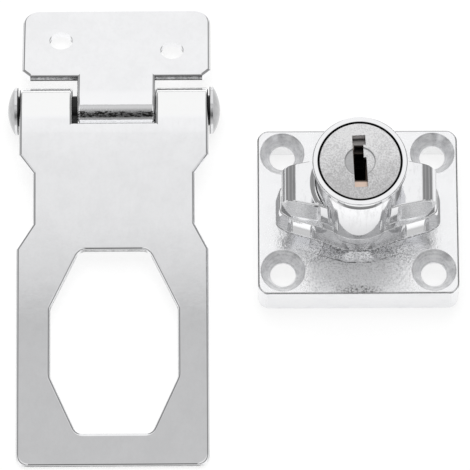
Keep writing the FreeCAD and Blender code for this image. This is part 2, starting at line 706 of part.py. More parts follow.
def make_spring(label, level, length):
    spring = new_body(label)
    wire = size("spring_wire") / 2
    section = new_sketch(spring, label + "_wire", XZ)
    add_outline(section, [
        (size("spring_radius") + wire * x, wire + wire * z) for x, z in ((1, 0), (0, 1), (-1, 0), (0, -1))])
    coil = spring.newObject("PartDesign::AdditiveHelix", label + "_coil")
    coil.Profile = section
    coil.ReferenceAxis = (section, ["V_Axis"])
    coil.Mode = "height-turns-growth"
    bind(coil, "Height", length - size("spring_wire"))
    coil.Turns = SPRING_TURNS
    doc.recompute()
    place_in_plug(spring, Vector(spring_x.value, spring_low.value + size("seat_gap").value / 2, level.value),
                  Rotation(Vector(1, 0, 0), -90))
    return spring


def place_in_plug(body, place, rotation):
    body.Placement = Placement(Vector(0, 0, (knob_level + seat_level).value), Rotation()).multiply(
        Placement(place, rotation))


for index, key_cut in enumerate(WAFER_CUTS, start=1):
    make_wafer("wafer_%d" % index, wafer_levels[index - 1], key_cut, as_size(0))
    make_spring("wafer_spring_%d" % index, wafer_levels[index - 1], size("spring_length"))
make_wafer("retaining_wafer", catch_level, 0, size("wafer_travel"))
make_spring("retaining_spring", catch_level, size("spring_length") + size("wafer_travel"))


# The locking bolt lies in the stem; its open slot takes the plug's eccentric pin.
bolt = new_body("locking_bolt")
tip_x = root(size("bolt_tip") * size("bolt_tip") - size("bolt_half") * size("bolt_half"))
slot_left = -(size("crank_radius") + size("crank_clearance"))
slot_right = size("crank_radius") + size("crank_clearance") + size("crank_lead")
slot_end = size("crank_radius") + size("crank_clearance")
sketch = new_sketch(bolt, "bolt_outline", XY)
add_outline(sketch, [
    (slot_right, -size("bolt_half")),
    (tip_x, -size("bolt_half"), (0, 0), size("bolt_tip"), True),
    (tip_x, size("bolt_half")),
    (-size("bolt_tail"), size("bolt_half")),
    (-size("bolt_tail"), -size("bolt_half")),
    (slot_left, -size("bolt_half")),
    (slot_left, slot_end),
    (slot_right, slot_end),
])
pad(bolt, "bolt_bar", sketch, size("bolt_thick"))
bind(bolt, "Placement.Base.z", plate_top + size("bolt_level"))


# Washers and the screw that hold the knob's stem in the base.
cone = new_body("spring_washer")
sketch = new_sketch(cone, "cone_profile", XZ)
add_outline(sketch, [
    (size("spring_washer_inner"), 0),
    (size("spring_washer_outer"), size("spring_washer_rise")),
    (size("spring_washer_outer"), size("spring_washer_rise") + size("spring_washer_thick")),
    (size("spring_washer_inner"), size("spring_washer_thick")),
])
turn(cone, "cone_ring", sketch)
bind(cone, "Placement.Base.z", spring_washer_level)

stopper = new_body("stop_washer")
hole_radius = size("stem_radius") + size("washer_clearance")
hole_flat = size("stem_flat_half") + size("washer_clearance")
flat_x = root(hole_radius * hole_radius - hole_flat * hole_flat)
tab_root = root(size("washer_radius") * size("washer_radius") - size("tab_half") * size("tab_half"))
sketch = new_sketch(stopper, "stop_washer_outline", XY)
add_outline(sketch, [
    (tab_root, -size("tab_half")),
    (size("tab_reach"), -size("tab_half")),
    (size("tab_reach"), size("tab_half")),
    (tab_root, size("tab_half"), (0, 0), size("washer_radius"), True),
])
add_outline(sketch, [
    (flat_x, -hole_flat, (0, 0), hole_radius, True),
    (flat_x, hole_flat),
    (-flat_x, hole_flat, (0, 0), hole_radius, True),
    (-flat_x, -hole_flat),
])
pad(stopper, "stop_washer_sheet", sketch, size("washer_thick"))
bind(stopper, "Placement.Base.z", stop_washer_level)

plain = new_body("retaining_washer")
sketch = new_sketch(plain, "retaining_washer_outline", XY)
add_circle(sketch, 0, 0, size("plain_washer_radius"))
add_circle(sketch, 0, 0, size("screw_radius") + size("screw_clearance"))
pad(plain, "retaining_washer_sheet", sketch, size("plain_washer_thick"))
bind(plain, "Placement.Base.z", plain_washer_level)

screw = new_body("retaining_screw")
sketch = new_sketch(screw, "screw_profile", XZ)
add_outline(sketch, [
    (0, -size("screw_head_height")),
    (size("screw_head_radius"), -size("screw_head_height")),
    (size("screw_head_radius"), 0),
    (size("screw_radius"), 0),
    (size("screw_radius"), size("screw_length")),
    (0, size("screw_length")),
])
turn(screw, "screw_round", sketch)
round_edges(screw, "screw_head_round", size("screw_head_round"),
            lambda edge: flat_at(edge, -size("screw_head_height")))
slot, reach = size("slot_half"), size("slot_reach")
sketch = new_sketch(screw, "cross_outline", XY, -size("screw_head_height"))
add_outline(sketch, mirrored([(reach, slot), (slot, slot), (slot, reach)]))
cut(screw, "cross_recess", sketch, size("slot_depth"))
bind(screw, "Placement.Base.z", screw_level)


# The hasp's strap and leaf share one section: a flat sheet that runs over the
# top of the knuckle, curls round the pin and ends just under the sheet's back.
def hinge_section(body, name, length, width):
    outer = size("knuckle_radius")
    inner = outer - size("sheet_thick")
    end_z = inner - size("seam_gap")
    end_y = -root(outer * outer - end_z * end_z)
    section = new_sketch(body, name, YZ)
    add_outline(section, [
        (-length, outer),
        (-length, inner),
        (0, inner, (0, 0), inner, False),
        (end_y * inner / outer, end_z * inner / outer),
        (end_y, end_z, (0, 0), outer, True),
        (0, outer),
    ])
    pad(body, name + "_sheet", section, width, both_ways=True)


# The hasp lies on the pin's heads, or on its knuckles where those are larger.
axis_level = max(size("rivet_radius").value, size("knuckle_radius").value)


def rest_angle(length):
    """Tilt at which the sheet's far back edge also lies on the surface."""
    back = size("knuckle_radius").value - size("sheet_thick").value
    far = math.hypot(length.value, back)
    tilt = math.asin(axis_level / far) + math.atan2(back, length.value)
    return math.degrees(tilt)


def hasp_place(turned, tilt, shift=0.0):
    axis_place = Placement(
        Vector(-size("hasp_x").value, size("hasp_y").value, axis_level),
        Rotation(Vector(0, 0, 1), size("hasp_turn").value + turned))
    return axis_place.multiply(Placement(Vector(shift, 0, 0), Rotation(Vector(1, 0, 0), tilt)))


def cut_side(body, name, corners, far_x):
    """Trims one long side to its corners, near end first."""
    near_y = size("knuckle_radius") * 2
    outline = new_sketch(body, name, XY, size("knuckle_radius") * -2)
    add_outline(outline, corners + [(far_x, corners[-1][1]), (far_x, near_y), (corners[0][0], near_y)])
    cut(body, name + "_cut", outline, size("knuckle_radius") * 4)


def face_edge(edge):
    """Edges of the flat front face, without its round holes and the start of the curl."""
    along_curl = edge.BoundBox.YLength < 1e-4 and abs(edge.BoundBox.YMin) < 1e-3
    return flat_at(edge, size("knuckle_radius")) and not along_curl and not edge.isClosed()


strap = new_body("hasp_strap")
blank_width = size("strap_width") + size("strap_shift") * 4
hinge_section(strap, "strap_section", size("strap_length"), blank_width)
for name, side in (("right_side", 1), ("left_side", -1)):
    blade_x = size("strap_width") / 2 * side - size("strap_shift")
    cut_side(strap, name, [
        (size("strap_hinge_width") / 2 * side, -size("neck_shoulder_top")),
        (size("neck_width") / 2 * side, -size("neck_top")),
        (size("neck_width") / 2 * side, -size("neck_bottom")),
        (blade_x, -size("neck_shoulder_bottom")),
        (blade_x, -(size("strap_length") + size("strap_shift"))),
    ], blank_width * side)
sketch = new_sketch(strap, "window_outline", XY)
half_flat, half_foot = size("window_flat") / 2, size("window_foot") / 2
half_window = size("window_width") / 2
window_bottom = size("tip_bridge") - size("strap_length")
window_side_bottom = window_bottom + size("window_foot_rise")
window_side_top = window_side_bottom + size("window_side")
window_top = window_side_top + size("window_head_rise")
add_outline(sketch, [
    (half_flat, window_top),
    (-half_flat, window_top),
    (-half_window, window_side_top),
    (-half_window, window_side_bottom),
    (-half_foot, window_bottom),
    (half_foot, window_bottom),
    (half_window, window_side_bottom),
    (half_window, window_side_top),
])
cut(strap, "window", sketch, size("knuckle_radius"))
sketch = new_sketch(strap, "notch_outline", XY, size("knuckle_radius") * -2)
notch = size("tongue_width") / 2 + size("tongue_clearance")
add_box(sketch, -notch, notch, -size("notch_floor"), size("knuckle_radius") * 2)
cut(strap, "tongue_notch", sketch, size("knuckle_radius") * 4)
sketch = new_sketch(strap, "curl_relief_outline", XY, size("knuckle_radius") * -2)
add_box(sketch, -notch, notch, -(size("knuckle_radius") + size("tongue_relief")), size("knuckle_radius") * 2)
cut(strap, "curl_relief", sketch, size("knuckle_radius") * 3 - size("sheet_thick"))
round_edges(strap, "tip_corners", size("tip_corner"), lambda edge: (
    upright(edge) and near(edge.CenterOfMass.y, -size("strap_length"))))
round_edges(strap, "window_corners", size("window_corner"), lambda edge: (
    upright(edge) and abs(edge.CenterOfMass.x) < half_window.value + 0.01
    and edge.CenterOfMass.y < window_top.value + 0.01))
round_edges(strap, "strap_edges", size("sheet_edge"), face_edge)
strap.Placement = hasp_place(0, rest_angle(size("strap_length")))

leaf = new_body("hinge_leaf")
hinge_section(leaf, "leaf_section", size("leaf_length"), size("leaf_width"))
half_leaf = size("leaf_width") / 2
for name, side in (("right_ear", 1), ("left_ear", -1)):
    cut_side(leaf, name, [
        (size("tongue_width") / 2 * side, -size("ear_start")),
        ((half_leaf - size("ear_chamfer")) * side, -size("ear_start")),
        (half_leaf * side, -(size("ear_start") + size("ear_chamfer"))),
    ], size("leaf_width") * side)
sketch = new_sketch(leaf, "leaf_hole_outlines", XY)
for side, distance in ((1, size("leaf_hole_left")), (-1, size("leaf_hole_right"))):
    add_circle(sketch, size("leaf_hole_span") / 2 * side, -distance, size("leaf_hole") / 2)
cut(leaf, "leaf_holes", sketch, size("knuckle_radius"))
round_edges(leaf, "leaf_corners", size("leaf_corner"), lambda edge: (
    upright(edge) and near(edge.CenterOfMass.y, -size("leaf_length"))))
round_edges(leaf, "leaf_edges", size("sheet_edge"), face_edge)
leaf.Placement = hasp_place(180, rest_angle(size("leaf_length")), -size("leaf_shift").value)

pin = new_body("hinge_pin")
shaft = size("knuckle_radius") - size("sheet_thick") - size("pin_clearance")
head_in = size("strap_hinge_width") / 2 + size("rivet_gap")
head_out = head_in + size("rivet_height")
dome_rise = size("rivet_height") - size("rivet_edge")
dome_radius = (size("rivet_radius") * size("rivet_radius") + dome_rise * dome_rise) / (dome_rise * 2)
sketch = new_sketch(pin, "pin_profile", XZ)
add_outline(sketch, [
    (0, -head_out, (0, dome_radius - head_out), dome_radius, True),
    (size("rivet_radius"), -(head_in + size("rivet_edge"))),
    (size("rivet_radius"), -head_in),
    (shaft, -head_in),
    (shaft, head_in),
    (size("rivet_radius"), head_in),
    (size("rivet_radius"), head_in + size("rivet_edge"), (0, head_out - dome_radius), dome_radius, True),
    (0, head_out),
])
turn(pin, "pin_round", sketch)
pin.Placement = hasp_place(0, 0).multiply(Placement(Vector(), Rotation(Vector(0, 1, 0), 90)))


# Every feature must stand, and every piece must be one valid solid.
doc.recompute()
for item in doc.Objects:
    if "Invalid" in item.State or "Error" in item.State:
        raise RuntimeError("%s failed: %s" % (item.Label, item.State))
bodies = [item for item in doc.Objects if item.TypeId == "PartDesign::Body"]
for body in bodies:
    if body.Shape.isNull() or not body.Shape.isValid() or len(body.Shape.Solids) != 1:
        raise RuntimeError("%s is not one valid solid" % body.Label)

# The origin goes under the middle of the whole set.
extent = FreeCAD.BoundBox()
for body in bodies:
    extent.add(body.Shape.optimalBoundingBox(False, False))
middle = Vector(-extent.Center.x, -extent.Center.y, 0)
for body in bodies:
    body.Placement = Placement(middle, Rotation()).multiply(body.Placement)
doc.recompute()

os.makedirs("parts", exist_ok=True)
for body in bodies:
    body.Shape.exportStep("parts/%s.step" % body.Label)
print("Set moved by %.4f %.4f %.4f" % (middle.x, middle.y, middle.z))
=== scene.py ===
import math

import bpy
from mathutils import Matrix, Vector

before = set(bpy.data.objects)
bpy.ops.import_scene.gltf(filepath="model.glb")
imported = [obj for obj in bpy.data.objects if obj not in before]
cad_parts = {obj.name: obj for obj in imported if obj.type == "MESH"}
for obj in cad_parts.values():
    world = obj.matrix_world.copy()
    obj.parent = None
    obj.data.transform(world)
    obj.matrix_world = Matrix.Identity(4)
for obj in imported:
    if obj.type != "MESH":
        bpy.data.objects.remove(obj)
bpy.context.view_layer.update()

# Lengths are in metres and angles in radians, unless it is said otherwise.

# Camera, as fitted to the photograph; its lens and sensor are in millimetres
VIEW_ELEVATION = math.radians(68.402)
VIEW_DISTANCE = 1.3
VIEW_TARGET = Vector((0.00049, 0.000473, 0.0))
VIEW_ROLL = math.radians(0.242)
SENSOR_WIDTH = 36.0
FOCAL_LENGTH = 497.2
CLIP_NEAR, CLIP_FAR = 0.01, 100.0

# Light, as brightness seen by direction. The arc runs in degrees from the horizon
# on the camera's side (0) over the top (90) to the horizon behind (180).
MIDDLE_LIGHT = (
    (0.0, 0.66),
    (9.0, 0.62),
    (18.0, 0.55),
    (24.0, 0.46),
    (33.0, 0.20),
    (40.0, 0.08),
    (46.0, 0.07),
    (56.0, 0.12),
    (71.0, 0.34),
    (82.0, 0.58),
    (90.0, 0.61),
    (97.0, 0.56),
    (102.0, 0.93),
    (180.0, 0.92),
)

# The softbox's near edge, which the hasp's strap mirrors
EDGE_LIGHT = (
    (97.0, 0.57),
    (98.60, 0.55),
    (98.78, 0.505),
    (98.86, 0.53),
    (98.92, 0.57),
    (99.02, 0.66),
    (99.12, 0.69),
    (99.35, 0.72),
    (99.50, 0.77),
    (99.62, 0.81),
    (100.25, 0.83),
    (100.42, 0.86),
    (100.55, 0.91),
    (102.0, 0.93),
)

# Light to the left and right of the dark stand. It starts at a smaller spread, the
# angle away from the camera's upright plane, below FLANK_ARCS than above them.
FLANK_LIGHT = (
    (0.0, 0.60),
    (25.0, 0.52),
    (44.0, 0.40),
    (54.0, 0.46),
    (64.0, 0.84),
    (86.0, 0.88),
    (98.0, 0.60),
    (99.0, 0.60),
    (100.5, 0.86),
    (180.0, 0.92),
)
FLANK_ARCS = (94.0, 97.0)
FLANK_START = (math.radians(1.8), 0.1)
FLANK_FULL = (math.radians(3.6), 0.2)

# A post of the stand on either side, below the top of POST_ARCS
POST_SIDES = (math.radians(16.5), math.radians(20.5))
POST_SOFT = math.radians(1.5)
POST_ARCS = (94.0, 99.0)
POST_SHADE = 0.62

# Light of the walls at the sides, by the spread in degrees. In front they start
# farther out than behind, to either side of SIDE_ARCS.
SIDE_LIGHT = (
    (0.0, 0.27),
    (20.0, 0.27),
    (26.0, 0.22),
    (29.0, 0.38),
    (34.0, 0.28),
    (50.0, 0.22),
    (56.0, 0.42),
    (62.0, 0.24),
    (72.0, 0.24),
    (76.0, 0.90),
    (90.0, 0.90),
)
SIDE_ARCS = (90.0, 104.0)
SIDE_START = (math.radians(26.0), math.radians(9.0))
SIDE_FULL = (math.radians(44.0), math.radians(14.0))

# Lamp, in metres and watts
LAMP_PLACE = (0.0, 0.45, 1.2)
LAMP_SIZE = 1.1
LAMP_POWER = 10.0

# Floor, whose glow fades from FLOOR_NEAR to FLOOR_FAR away from the object
WHITE = (1.0, 1.0, 1.0, 1.0)
FLOOR_HALF = 6.0
FLOOR_COLOUR = (0.28, 0.28, 0.28, 1.0)
FLOOR_LIFT = 0.78
FLOOR_NEAR = 0.07
FLOOR_FAR = 0.22
FLOOR_FAR_SHARE = 0.45

# Places on the object at rest
LOCK_AXIS = (0.025, 0.002187, 0.0)
PLATE_HALF = (0.020, 0.0175)
PLATE_TOP = 0.008
CEILING = 0.005
BOSS_TOP = 0.0143
SCREW_PLACE = (0.015, 0.0125)
SINK_RADIUS = 0.00445
HUB_FILLET = 0.0096
FLANGE_TOP = 0.0163
RIM_LOW = 0.0334
KNOB_TOP = 0.0347
HEAD_RADIUS = 0.008
HEAD_FACE = 0.03465
DISH_RADIUS = 0.003
WELL_RADIUS = 0.0083
PIN_CENTRE = (-0.0237, 0.025537, 0.00475)
PIN_HALF = 0.0192
KNUCKLE_RADIUS = 0.0046
SHEET_THICK = 0.0015
TIP_PLACE = -0.0743

# The two sheets of the hasp: tilt, distance from the pin where the curl ends and
# where the holes lie, the painted dark reflection on the curl (its arc in degrees, its
# share, the squeeze of its dashes across the sheet and their levels) and the bow of the sheet
STRAP = {
    "tilt": math.radians(6.04),
    "curl_end": 0.0056,
    "holes": (0.080, 0.081),
    "dark_reflection_arc": (10.0, 36.0),
    "dark_reflection_share": 0.7,
    "dark_reflection_squeeze": 0.5,
    "dark_reflection_levels": (0.34, 0.54),
    "bow": 1.67,
}
LEAF = {
    "tilt": math.radians(-19.21),
    "curl_end": 0.0050,
    "holes": (0.009, 0.0215),
    "dark_reflection_arc": (114.0, 128.0),
    "dark_reflection_share": 0.95,
    "dark_reflection_squeeze": 2.0,
    "dark_reflection_levels": (0.45, 0.53),
    "bow": 0.0,
}

# Noise patterns: size of the grains, detail and roughness, then the squeeze along
# x, y and z where they are longer one way. Below, LEVELS is the part of a noise that
# is spread from 0 to 1 or over its SHARES, and SOFT is the width of a mask's border.
SHEET_WAVES = (0.009, 2.0, 0.5)
SHEET_CLOUD = (0.007, 5.0, 0.65)
SHEET_FLECK = (0.0012, 4.0, 0.7)
SHEET_PRESSED = (0.0011, 3.0, 0.6, (1.0, 0.6, 1.0))
SHEET_GRAIN = (0.00030, 3.0, 0.6)
EDGE_STREAK = (0.0005, 3.0, 0.6, (1.0, 1.0, 0.2))
TIP_DASHES = (0.0009, 3.0, 0.7, (0.5, 0.0, 0.0))
DARK_REFLECTION_DASHES = (0.0008, 3.0, 0.7)
RIVET_CLOUD = (0.0016, 4.0, 0.6)
RIVET_GRAIN = (0.00025, 3.0, 0.6)
WALL_STREAK = (0.0006, 3.0, 0.6, (1.0, 1.0, 0.12))
CAST_STAIN = (0.004, 5.0, 0.65)
KNOB_WAVES = (0.0035, 2.0, 0.5)
KNOB_GRAIN = (0.0003, 3.0, 0.6)
HUB_DRAWN = (0.00050, 2.0, 0.6)
WING_CLOUD = (0.0012, 4.0, 0.65, (1.0, 0.4, 1.0))
BASE_WAVES = (0.003, 2.0, 0.5)
BASE_PEBBLE = (0.00050, 2.0, 0.6)
BASE_SPECKLE = (0.00036, 3.0, 0.7)
BASE_DOTS = (0.00045, 2.0, 0.6)
SINK_RINGS = (0.00022, 2.0, 0.7)
SINK_BLOTCH = (0.0011, 3.0, 0.6)
FACE_GRAIN = (0.00032, 4.0, 0.7)
FACE_CLOUD = (0.0024, 4.0, 0.6)
BRASS_GRAIN = (0.0004, 3.0, 0.5)
INNER_GRAIN = (0.0008, 3.0, 0.5)

# Upward part of a normal, from a wall to a slope. UP, BACK, TURN and FACING below
# are such parts too.
STEEP = (0.35, 0.6)

# Red and blue of a grey, as shares of its green
GREY_RED = 0.997
GREY_BLUE = 1.014


def grey(level, warmth=0.0):
    """Opaque grey, a little bluish unless it is warmed."""
    return (level * (GREY_RED + warmth), level, level * (GREY_BLUE - warmth), 1.0)


class Tree:
    """Small helper that adds and joins shader nodes."""

    def __init__(self, tree):
        self.tree = tree
        tree.nodes.clear()

    def add(self, kind, settings=None, **values):
        node = self.tree.nodes.new("ShaderNode" + kind)
        for name, value in (settings or {}).items():
            setattr(node, name, value)
        for name, value in values.items():
            self.put(value, node.inputs[name])
        return node

    def put(self, value, socket):
        """Join an output to a socket, or set the socket's own value."""
        if isinstance(value, bpy.types.NodeSocket):
            self.tree.links.new(value, socket)
        else:
            socket.default_value = value

    def math(self, operation, first, second=0.0):
        node = self.add("Math", {"operation": operation})
        self.put(first, node.inputs[0])
        self.put(second, node.inputs[1])
        return node.outputs[0]

    def fold(self, operation, values):
        """Result of one operation over all values, from the first to the last."""
        result = values[0]
        for value in values[1:]:
            result = self.math(operation, result, value)
        return result

    def total(self, *values):
        return self.fold("ADD", values)

    def product(self, *values):
        return self.fold("MULTIPLY", values)

    def most(self, *values):
        return self.fold("MAXIMUM", values)

    def minus(self, first, second):
        return self.math("SUBTRACT", first, second)

    def inverse(self, value):
        """What is left of 1."""
        return self.minus(1.0, value)

    def unsigned(self, value):
        """The value without its sign."""
        return self.math("ABSOLUTE", value)

    def vector(self, operation, first, second=(0.0, 0.0, 0.0)):
        """Vector result, or the number for a dot product or a length."""
        node = self.add("VectorMath", {"operation": operation})
        self.put(first, node.inputs[0])
        self.put(second, node.inputs[1])
        return node.outputs["Value" if operation in ("DOT_PRODUCT", "LENGTH") else "Vector"]

    def place(self):
        return self.add("TexCoord").outputs["Object"]

    def normal(self):
        return self.add("TexCoord").outputs["Normal"]

    def split(self, vector):
        return self.add("SeparateXYZ", Vector=vector).outputs

    def join(self, x, y, z):
        return self.add("CombineXYZ", X=x, Y=y, Z=z).outputs[0]

    def reach(self, place, centre, keep=(1.0, 1.0, 0.0)):
        """Distance from centre, along the axes that keep holds."""
        away = self.vector("SUBTRACT", place, centre)
        return self.vector("LENGTH", self.vector("MULTIPLY", away, keep))

    def ramp(self, value, low, high, start=0.0, end=1.0):
        """Value mapped smoothly from low..high to start..end, held beyond both ends."""
        node = self.add("MapRange", {"interpolation_type": "SMOOTHSTEP"})
        for name, item in (("Value", value), ("From Min", low), ("From Max", high),
                           ("To Min", start), ("To Max", end)):
            self.put(item, node.inputs[name])
        return node.outputs[0]

    def fall(self, value, low, high, end=0.0):
        """1 up to low, then falling to end at high."""
        return self.ramp(value, low, high, 1.0, end)

    def band(self, value, low, high, soft):
        """1 between low and high, falling to 0 over soft beyond them."""
        return self.product(self.ramp(value, low - soft, low), self.fall(value, high, high + soft))

    def noise(self, place, size, detail, rough, squeeze=None):
        """Noise whose grains are about size metres across, and longer where squeezed."""
        if squeeze:
            place = self.vector("MULTIPLY", place, squeeze)
        node = self.add("TexNoise", Vector=place, Scale=1.0 / size, Detail=detail, Roughness=rough)
        return node.outputs["Fac"]

    def by_angle(self, angle, table):
        """Light for an angle in degrees, from a table that spans its range."""
        low, span = table[0][0], table[-1][0] - table[0][0]
        ramp = self.add("ValToRGB", Fac=self.math("DIVIDE", self.minus(angle, low), span))
        stops = ramp.color_ramp.elements
        while len(stops) < len(table):
            stops.new(0.5)
        for stop, (degrees, light) in zip(stops, table):
            stop.position = (degrees - low) / span
            stop.color = (light, light, light, 1.0)
        return self.add("RGBToBW", Color=ramp.outputs["Color"]).outputs[0]

    def mix_value(self, share, first, second):
        """Number between two; the node takes numbers at its inputs 2 and 3."""
        node = self.add("Mix", {"data_type": "FLOAT"})
        for number, value in ((0, share), (2, first), (3, second)):
            self.put(value, node.inputs[number])
        return node.outputs[0]

    def mix_colour(self, share, first, second):
        """Colour between two; the node takes colours at its inputs 6 and 7."""
        node = self.add("Mix", {"data_type": "RGBA"})
        for number, value in ((0, share), (6, first), (7, second)):
            self.put(value, node.inputs[number])
        return node.outputs[2]

    def layers(self, colour, *layers):
        """Colour under layers of a share and a colour each, with the last one on top."""
        for share, shade in layers:
            colour = self.mix_colour(share, colour, shade)
        return colour


def new_material(name):
    material = bpy.data.materials.new(name)
    material.use_nodes = True
    return material, Tree(material.node_tree)


def finish_material(tree, colour, rough, height, metal=1.0):
    """Metal surface with a bump whose height is in metres."""
    bump = tree.add("Bump", Strength=1.0, Distance=1.0, Height=height)
    shader = tree.add("BsdfPrincipled", Metallic=metal, Roughness=rough, Normal=bump.outputs[0])
    tree.put(colour, shader.inputs["Base Color"])
    output = tree.add("OutputMaterial")
    tree.put(shader.outputs[0], output.inputs["Surface"])


def place_camera():
    """Camera at the photograph's angle, rolled as the photograph is."""
    ahead = Vector((0.0, math.cos(VIEW_ELEVATION), -math.sin(VIEW_ELEVATION)))
    right = Vector((1.0, 0.0, 0.0))
    up = right.cross(ahead)
    turned_right = right * math.cos(VIEW_ROLL) - up * math.sin(VIEW_ROLL)
    turned_up = up * math.cos(VIEW_ROLL) + right * math.sin(VIEW_ROLL)
    data = bpy.data.cameras.new("camera")
    data.sensor_width = SENSOR_WIDTH
    data.lens = FOCAL_LENGTH
    data.clip_start = CLIP_NEAR
    data.clip_end = CLIP_FAR
    camera = bpy.data.objects.new("camera", data)
    bpy.context.scene.collection.objects.link(camera)
    axes = Matrix((turned_right, turned_up, -ahead)).transposed()
    camera.matrix_world = Matrix.Translation(VIEW_TARGET - ahead * VIEW_DISTANCE) @ axes.to_4x4()
    bpy.context.scene.camera = camera


def light_world():
    """Softbox above and behind, dark stand and camera in front, dim walls at the sides."""
    world = bpy.data.worlds.new("studio")
    world.use_nodes = True
    bpy.context.scene.world = world
    tree = Tree(world.node_tree)
    side, along, height = tree.split(tree.add("TexCoord").outputs["Generated"])
    arc = tree.math("DEGREES", tree.math("ARCTAN2", height, tree.product(along, -1.0)))
    spread = tree.unsigned(tree.math("ARCSINE", side))

    in_edge = tree.product(tree.math("GREATER_THAN", arc, EDGE_LIGHT[0][0]),
                           tree.math("LESS_THAN", arc, EDGE_LIGHT[-1][0]))
    middle = tree.mix_value(in_edge, tree.by_angle(arc, MIDDLE_LIGHT), tree.by_angle(arc, EDGE_LIGHT))
    above = tree.ramp(arc, *FLANK_ARCS)
    to_flank = tree.ramp(spread, tree.mix_value(above, *FLANK_START), tree.mix_value(above, *FLANK_FULL))
    near = tree.mix_value(to_flank, middle, tree.by_angle(arc, FLANK_LIGHT))
    post = tree.product(tree.band(spread, *POST_SIDES, POST_SOFT), tree.fall(arc, *POST_ARCS))
    near = tree.product(near, tree.mix_value(post, 1.0, POST_SHADE))

    far = tree.by_angle(tree.math("DEGREES", spread), SIDE_LIGHT)
    behind = tree.ramp(arc, *SIDE_ARCS)
    to_side = tree.ramp(spread, tree.mix_value(behind, *SIDE_START), tree.mix_value(behind, *SIDE_FULL))
    light = tree.mix_value(to_side, near, far)
    background = tree.add("Background", Color=WHITE, Strength=light)
    output = tree.add("OutputWorld")
    tree.put(background.outputs[0], output.inputs["Surface"])


def add_lamp():
    """Large soft lamp above and behind; mirrors don't show it."""
    data = bpy.data.lights.new("softbox", "AREA")
    data.shape = "SQUARE"
    data.size = LAMP_SIZE
    data.energy = LAMP_POWER
    lamp = bpy.data.objects.new("softbox", data)
    bpy.context.scene.collection.objects.link(lamp)
    lamp.location = LAMP_PLACE
    lamp.rotation_euler = (-Vector(LAMP_PLACE)).to_track_quat("-Z", "Y").to_euler()
    lamp.visible_glossy = False


def make_floor():
    """Wide white table that keeps the object's shadow and dims into the distance."""
    mesh = bpy.data.meshes.new("floor")
    half = FLOOR_HALF
    corners = [(-half, -half, 0.0), (half, -half, 0.0), (half, half, 0.0), (-half, half, 0.0)]
    mesh.from_pydata(corners, [], [(0, 1, 2, 3)])
    floor = bpy.data.objects.new("floor", mesh)
    bpy.context.scene.collection.objects.link(floor)
    material, tree = new_material("table_white")
    path = tree.add("LightPath")
    seen = tree.most(path.outputs["Is Camera Ray"], path.outputs["Is Glossy Ray"],
                     path.outputs["Is Transmission Ray"])
    away = tree.reach(tree.place(), (0.0, 0.0, 0.0))
    fade = tree.fall(away, FLOOR_NEAR, FLOOR_FAR, FLOOR_FAR_SHARE)
    diffuse = tree.add("BsdfDiffuse", Color=FLOOR_COLOUR)
    glow = tree.add("Emission", Color=WHITE, Strength=tree.product(seen, fade, FLOOR_LIFT))
    both = tree.add("AddShader")
    tree.put(diffuse.outputs[0], both.inputs[0])
    tree.put(glow.outputs[0], both.inputs[1])
    output = tree.add("OutputMaterial")
    tree.put(both.outputs[0], output.inputs["Surface"])
    mesh.materials.append(material)


# Plated sheet
CUT_FACING = (0.75, 0.95)
HOLE_SOFT = 0.0002
# Painted shade on the lower part and upper arris of cut edges; painted highlight at the strap's tip
LOWER_EDGE_SHADE_DEPTH = (SHEET_THICK * 0.72, SHEET_THICK * 0.9)
LOWER_EDGE_SHADE_GREY = grey(0.10, 0.02)
ARRIS_DEPTH = (0.00040, 0.00056)
ARRIS_SHARE = 0.7
EDGE_LEVELS = (0.35, 0.65)
EDGE_GREYS = (grey(0.55), grey(0.86))
EDGE_ROUGH = 0.42
TIP_SOFT = 0.0004
TIP_LEVELS = (0.30, 0.52)
TIP_SHARES = (0.80, 1.0)
TIP_HIGHLIGHT_GREY = grey(1.0)
TIP_ARRIS_SHADE_GREY = grey(0.03, 0.02)
SHEET_CLOUD_LEVELS = (0.35, 0.75)
SHEET_FLECK_LEVELS = (0.60, 0.78)
SHEET_FLECK_SHARE = 0.5
PRESSED_LEVELS = (0.35, 0.70)
PRESSED_SHARE = 0.5
SHEET_GREYS = (grey(0.965), grey(0.925))
SHEET_ROUGH = 0.02
SHEET_GRAIN_ROUGH = 0.03
CURL_SOFT = 0.0006
CURL_GREY = grey(1.0)
DARK_REFLECTION_SOFT = 0.03
DARK_REFLECTION_GREY = grey(0.05, 0.06)
ROLLED_REACH = (0.00465, 0.0049)
ROLLED_GRAIN = 6e-6
FLAT_GRAIN = 1.6e-7
SHEET_WAVE_HEIGHT = 4e-6
SHEET_CLOUD_HEIGHT = 2e-6
BOW_START = 0.006


def sheared_edge(tree, place, depth, along):
    """Streaky cut edge with painted shade along its lower part and at its arris, and a painted highlight
    at the tip.
    """
    tip = tree.fall(along, TIP_PLACE, TIP_PLACE + TIP_SOFT)
    streak = tree.ramp(tree.noise(place, *EDGE_STREAK), *EDGE_LEVELS)
    edge = tree.mix_colour(tip, tree.mix_colour(streak, *EDGE_GREYS), TIP_HIGHLIGHT_GREY)
    lower_edge_shade = tree.product(tree.ramp(depth, *LOWER_EDGE_SHADE_DEPTH), tree.inverse(tip))
    dashes = tree.ramp(tree.noise(place, *TIP_DASHES), *TIP_LEVELS, *TIP_SHARES)
    arris = tree.product(tree.fall(depth, *ARRIS_DEPTH), tree.mix_value(tip, ARRIS_SHARE, dashes))
    dark = tree.mix_colour(tip, LOWER_EDGE_SHADE_GREY, TIP_ARRIS_SHADE_GREY)
    return tree.mix_colour(tree.most(lower_edge_shade, arris), edge, dark)


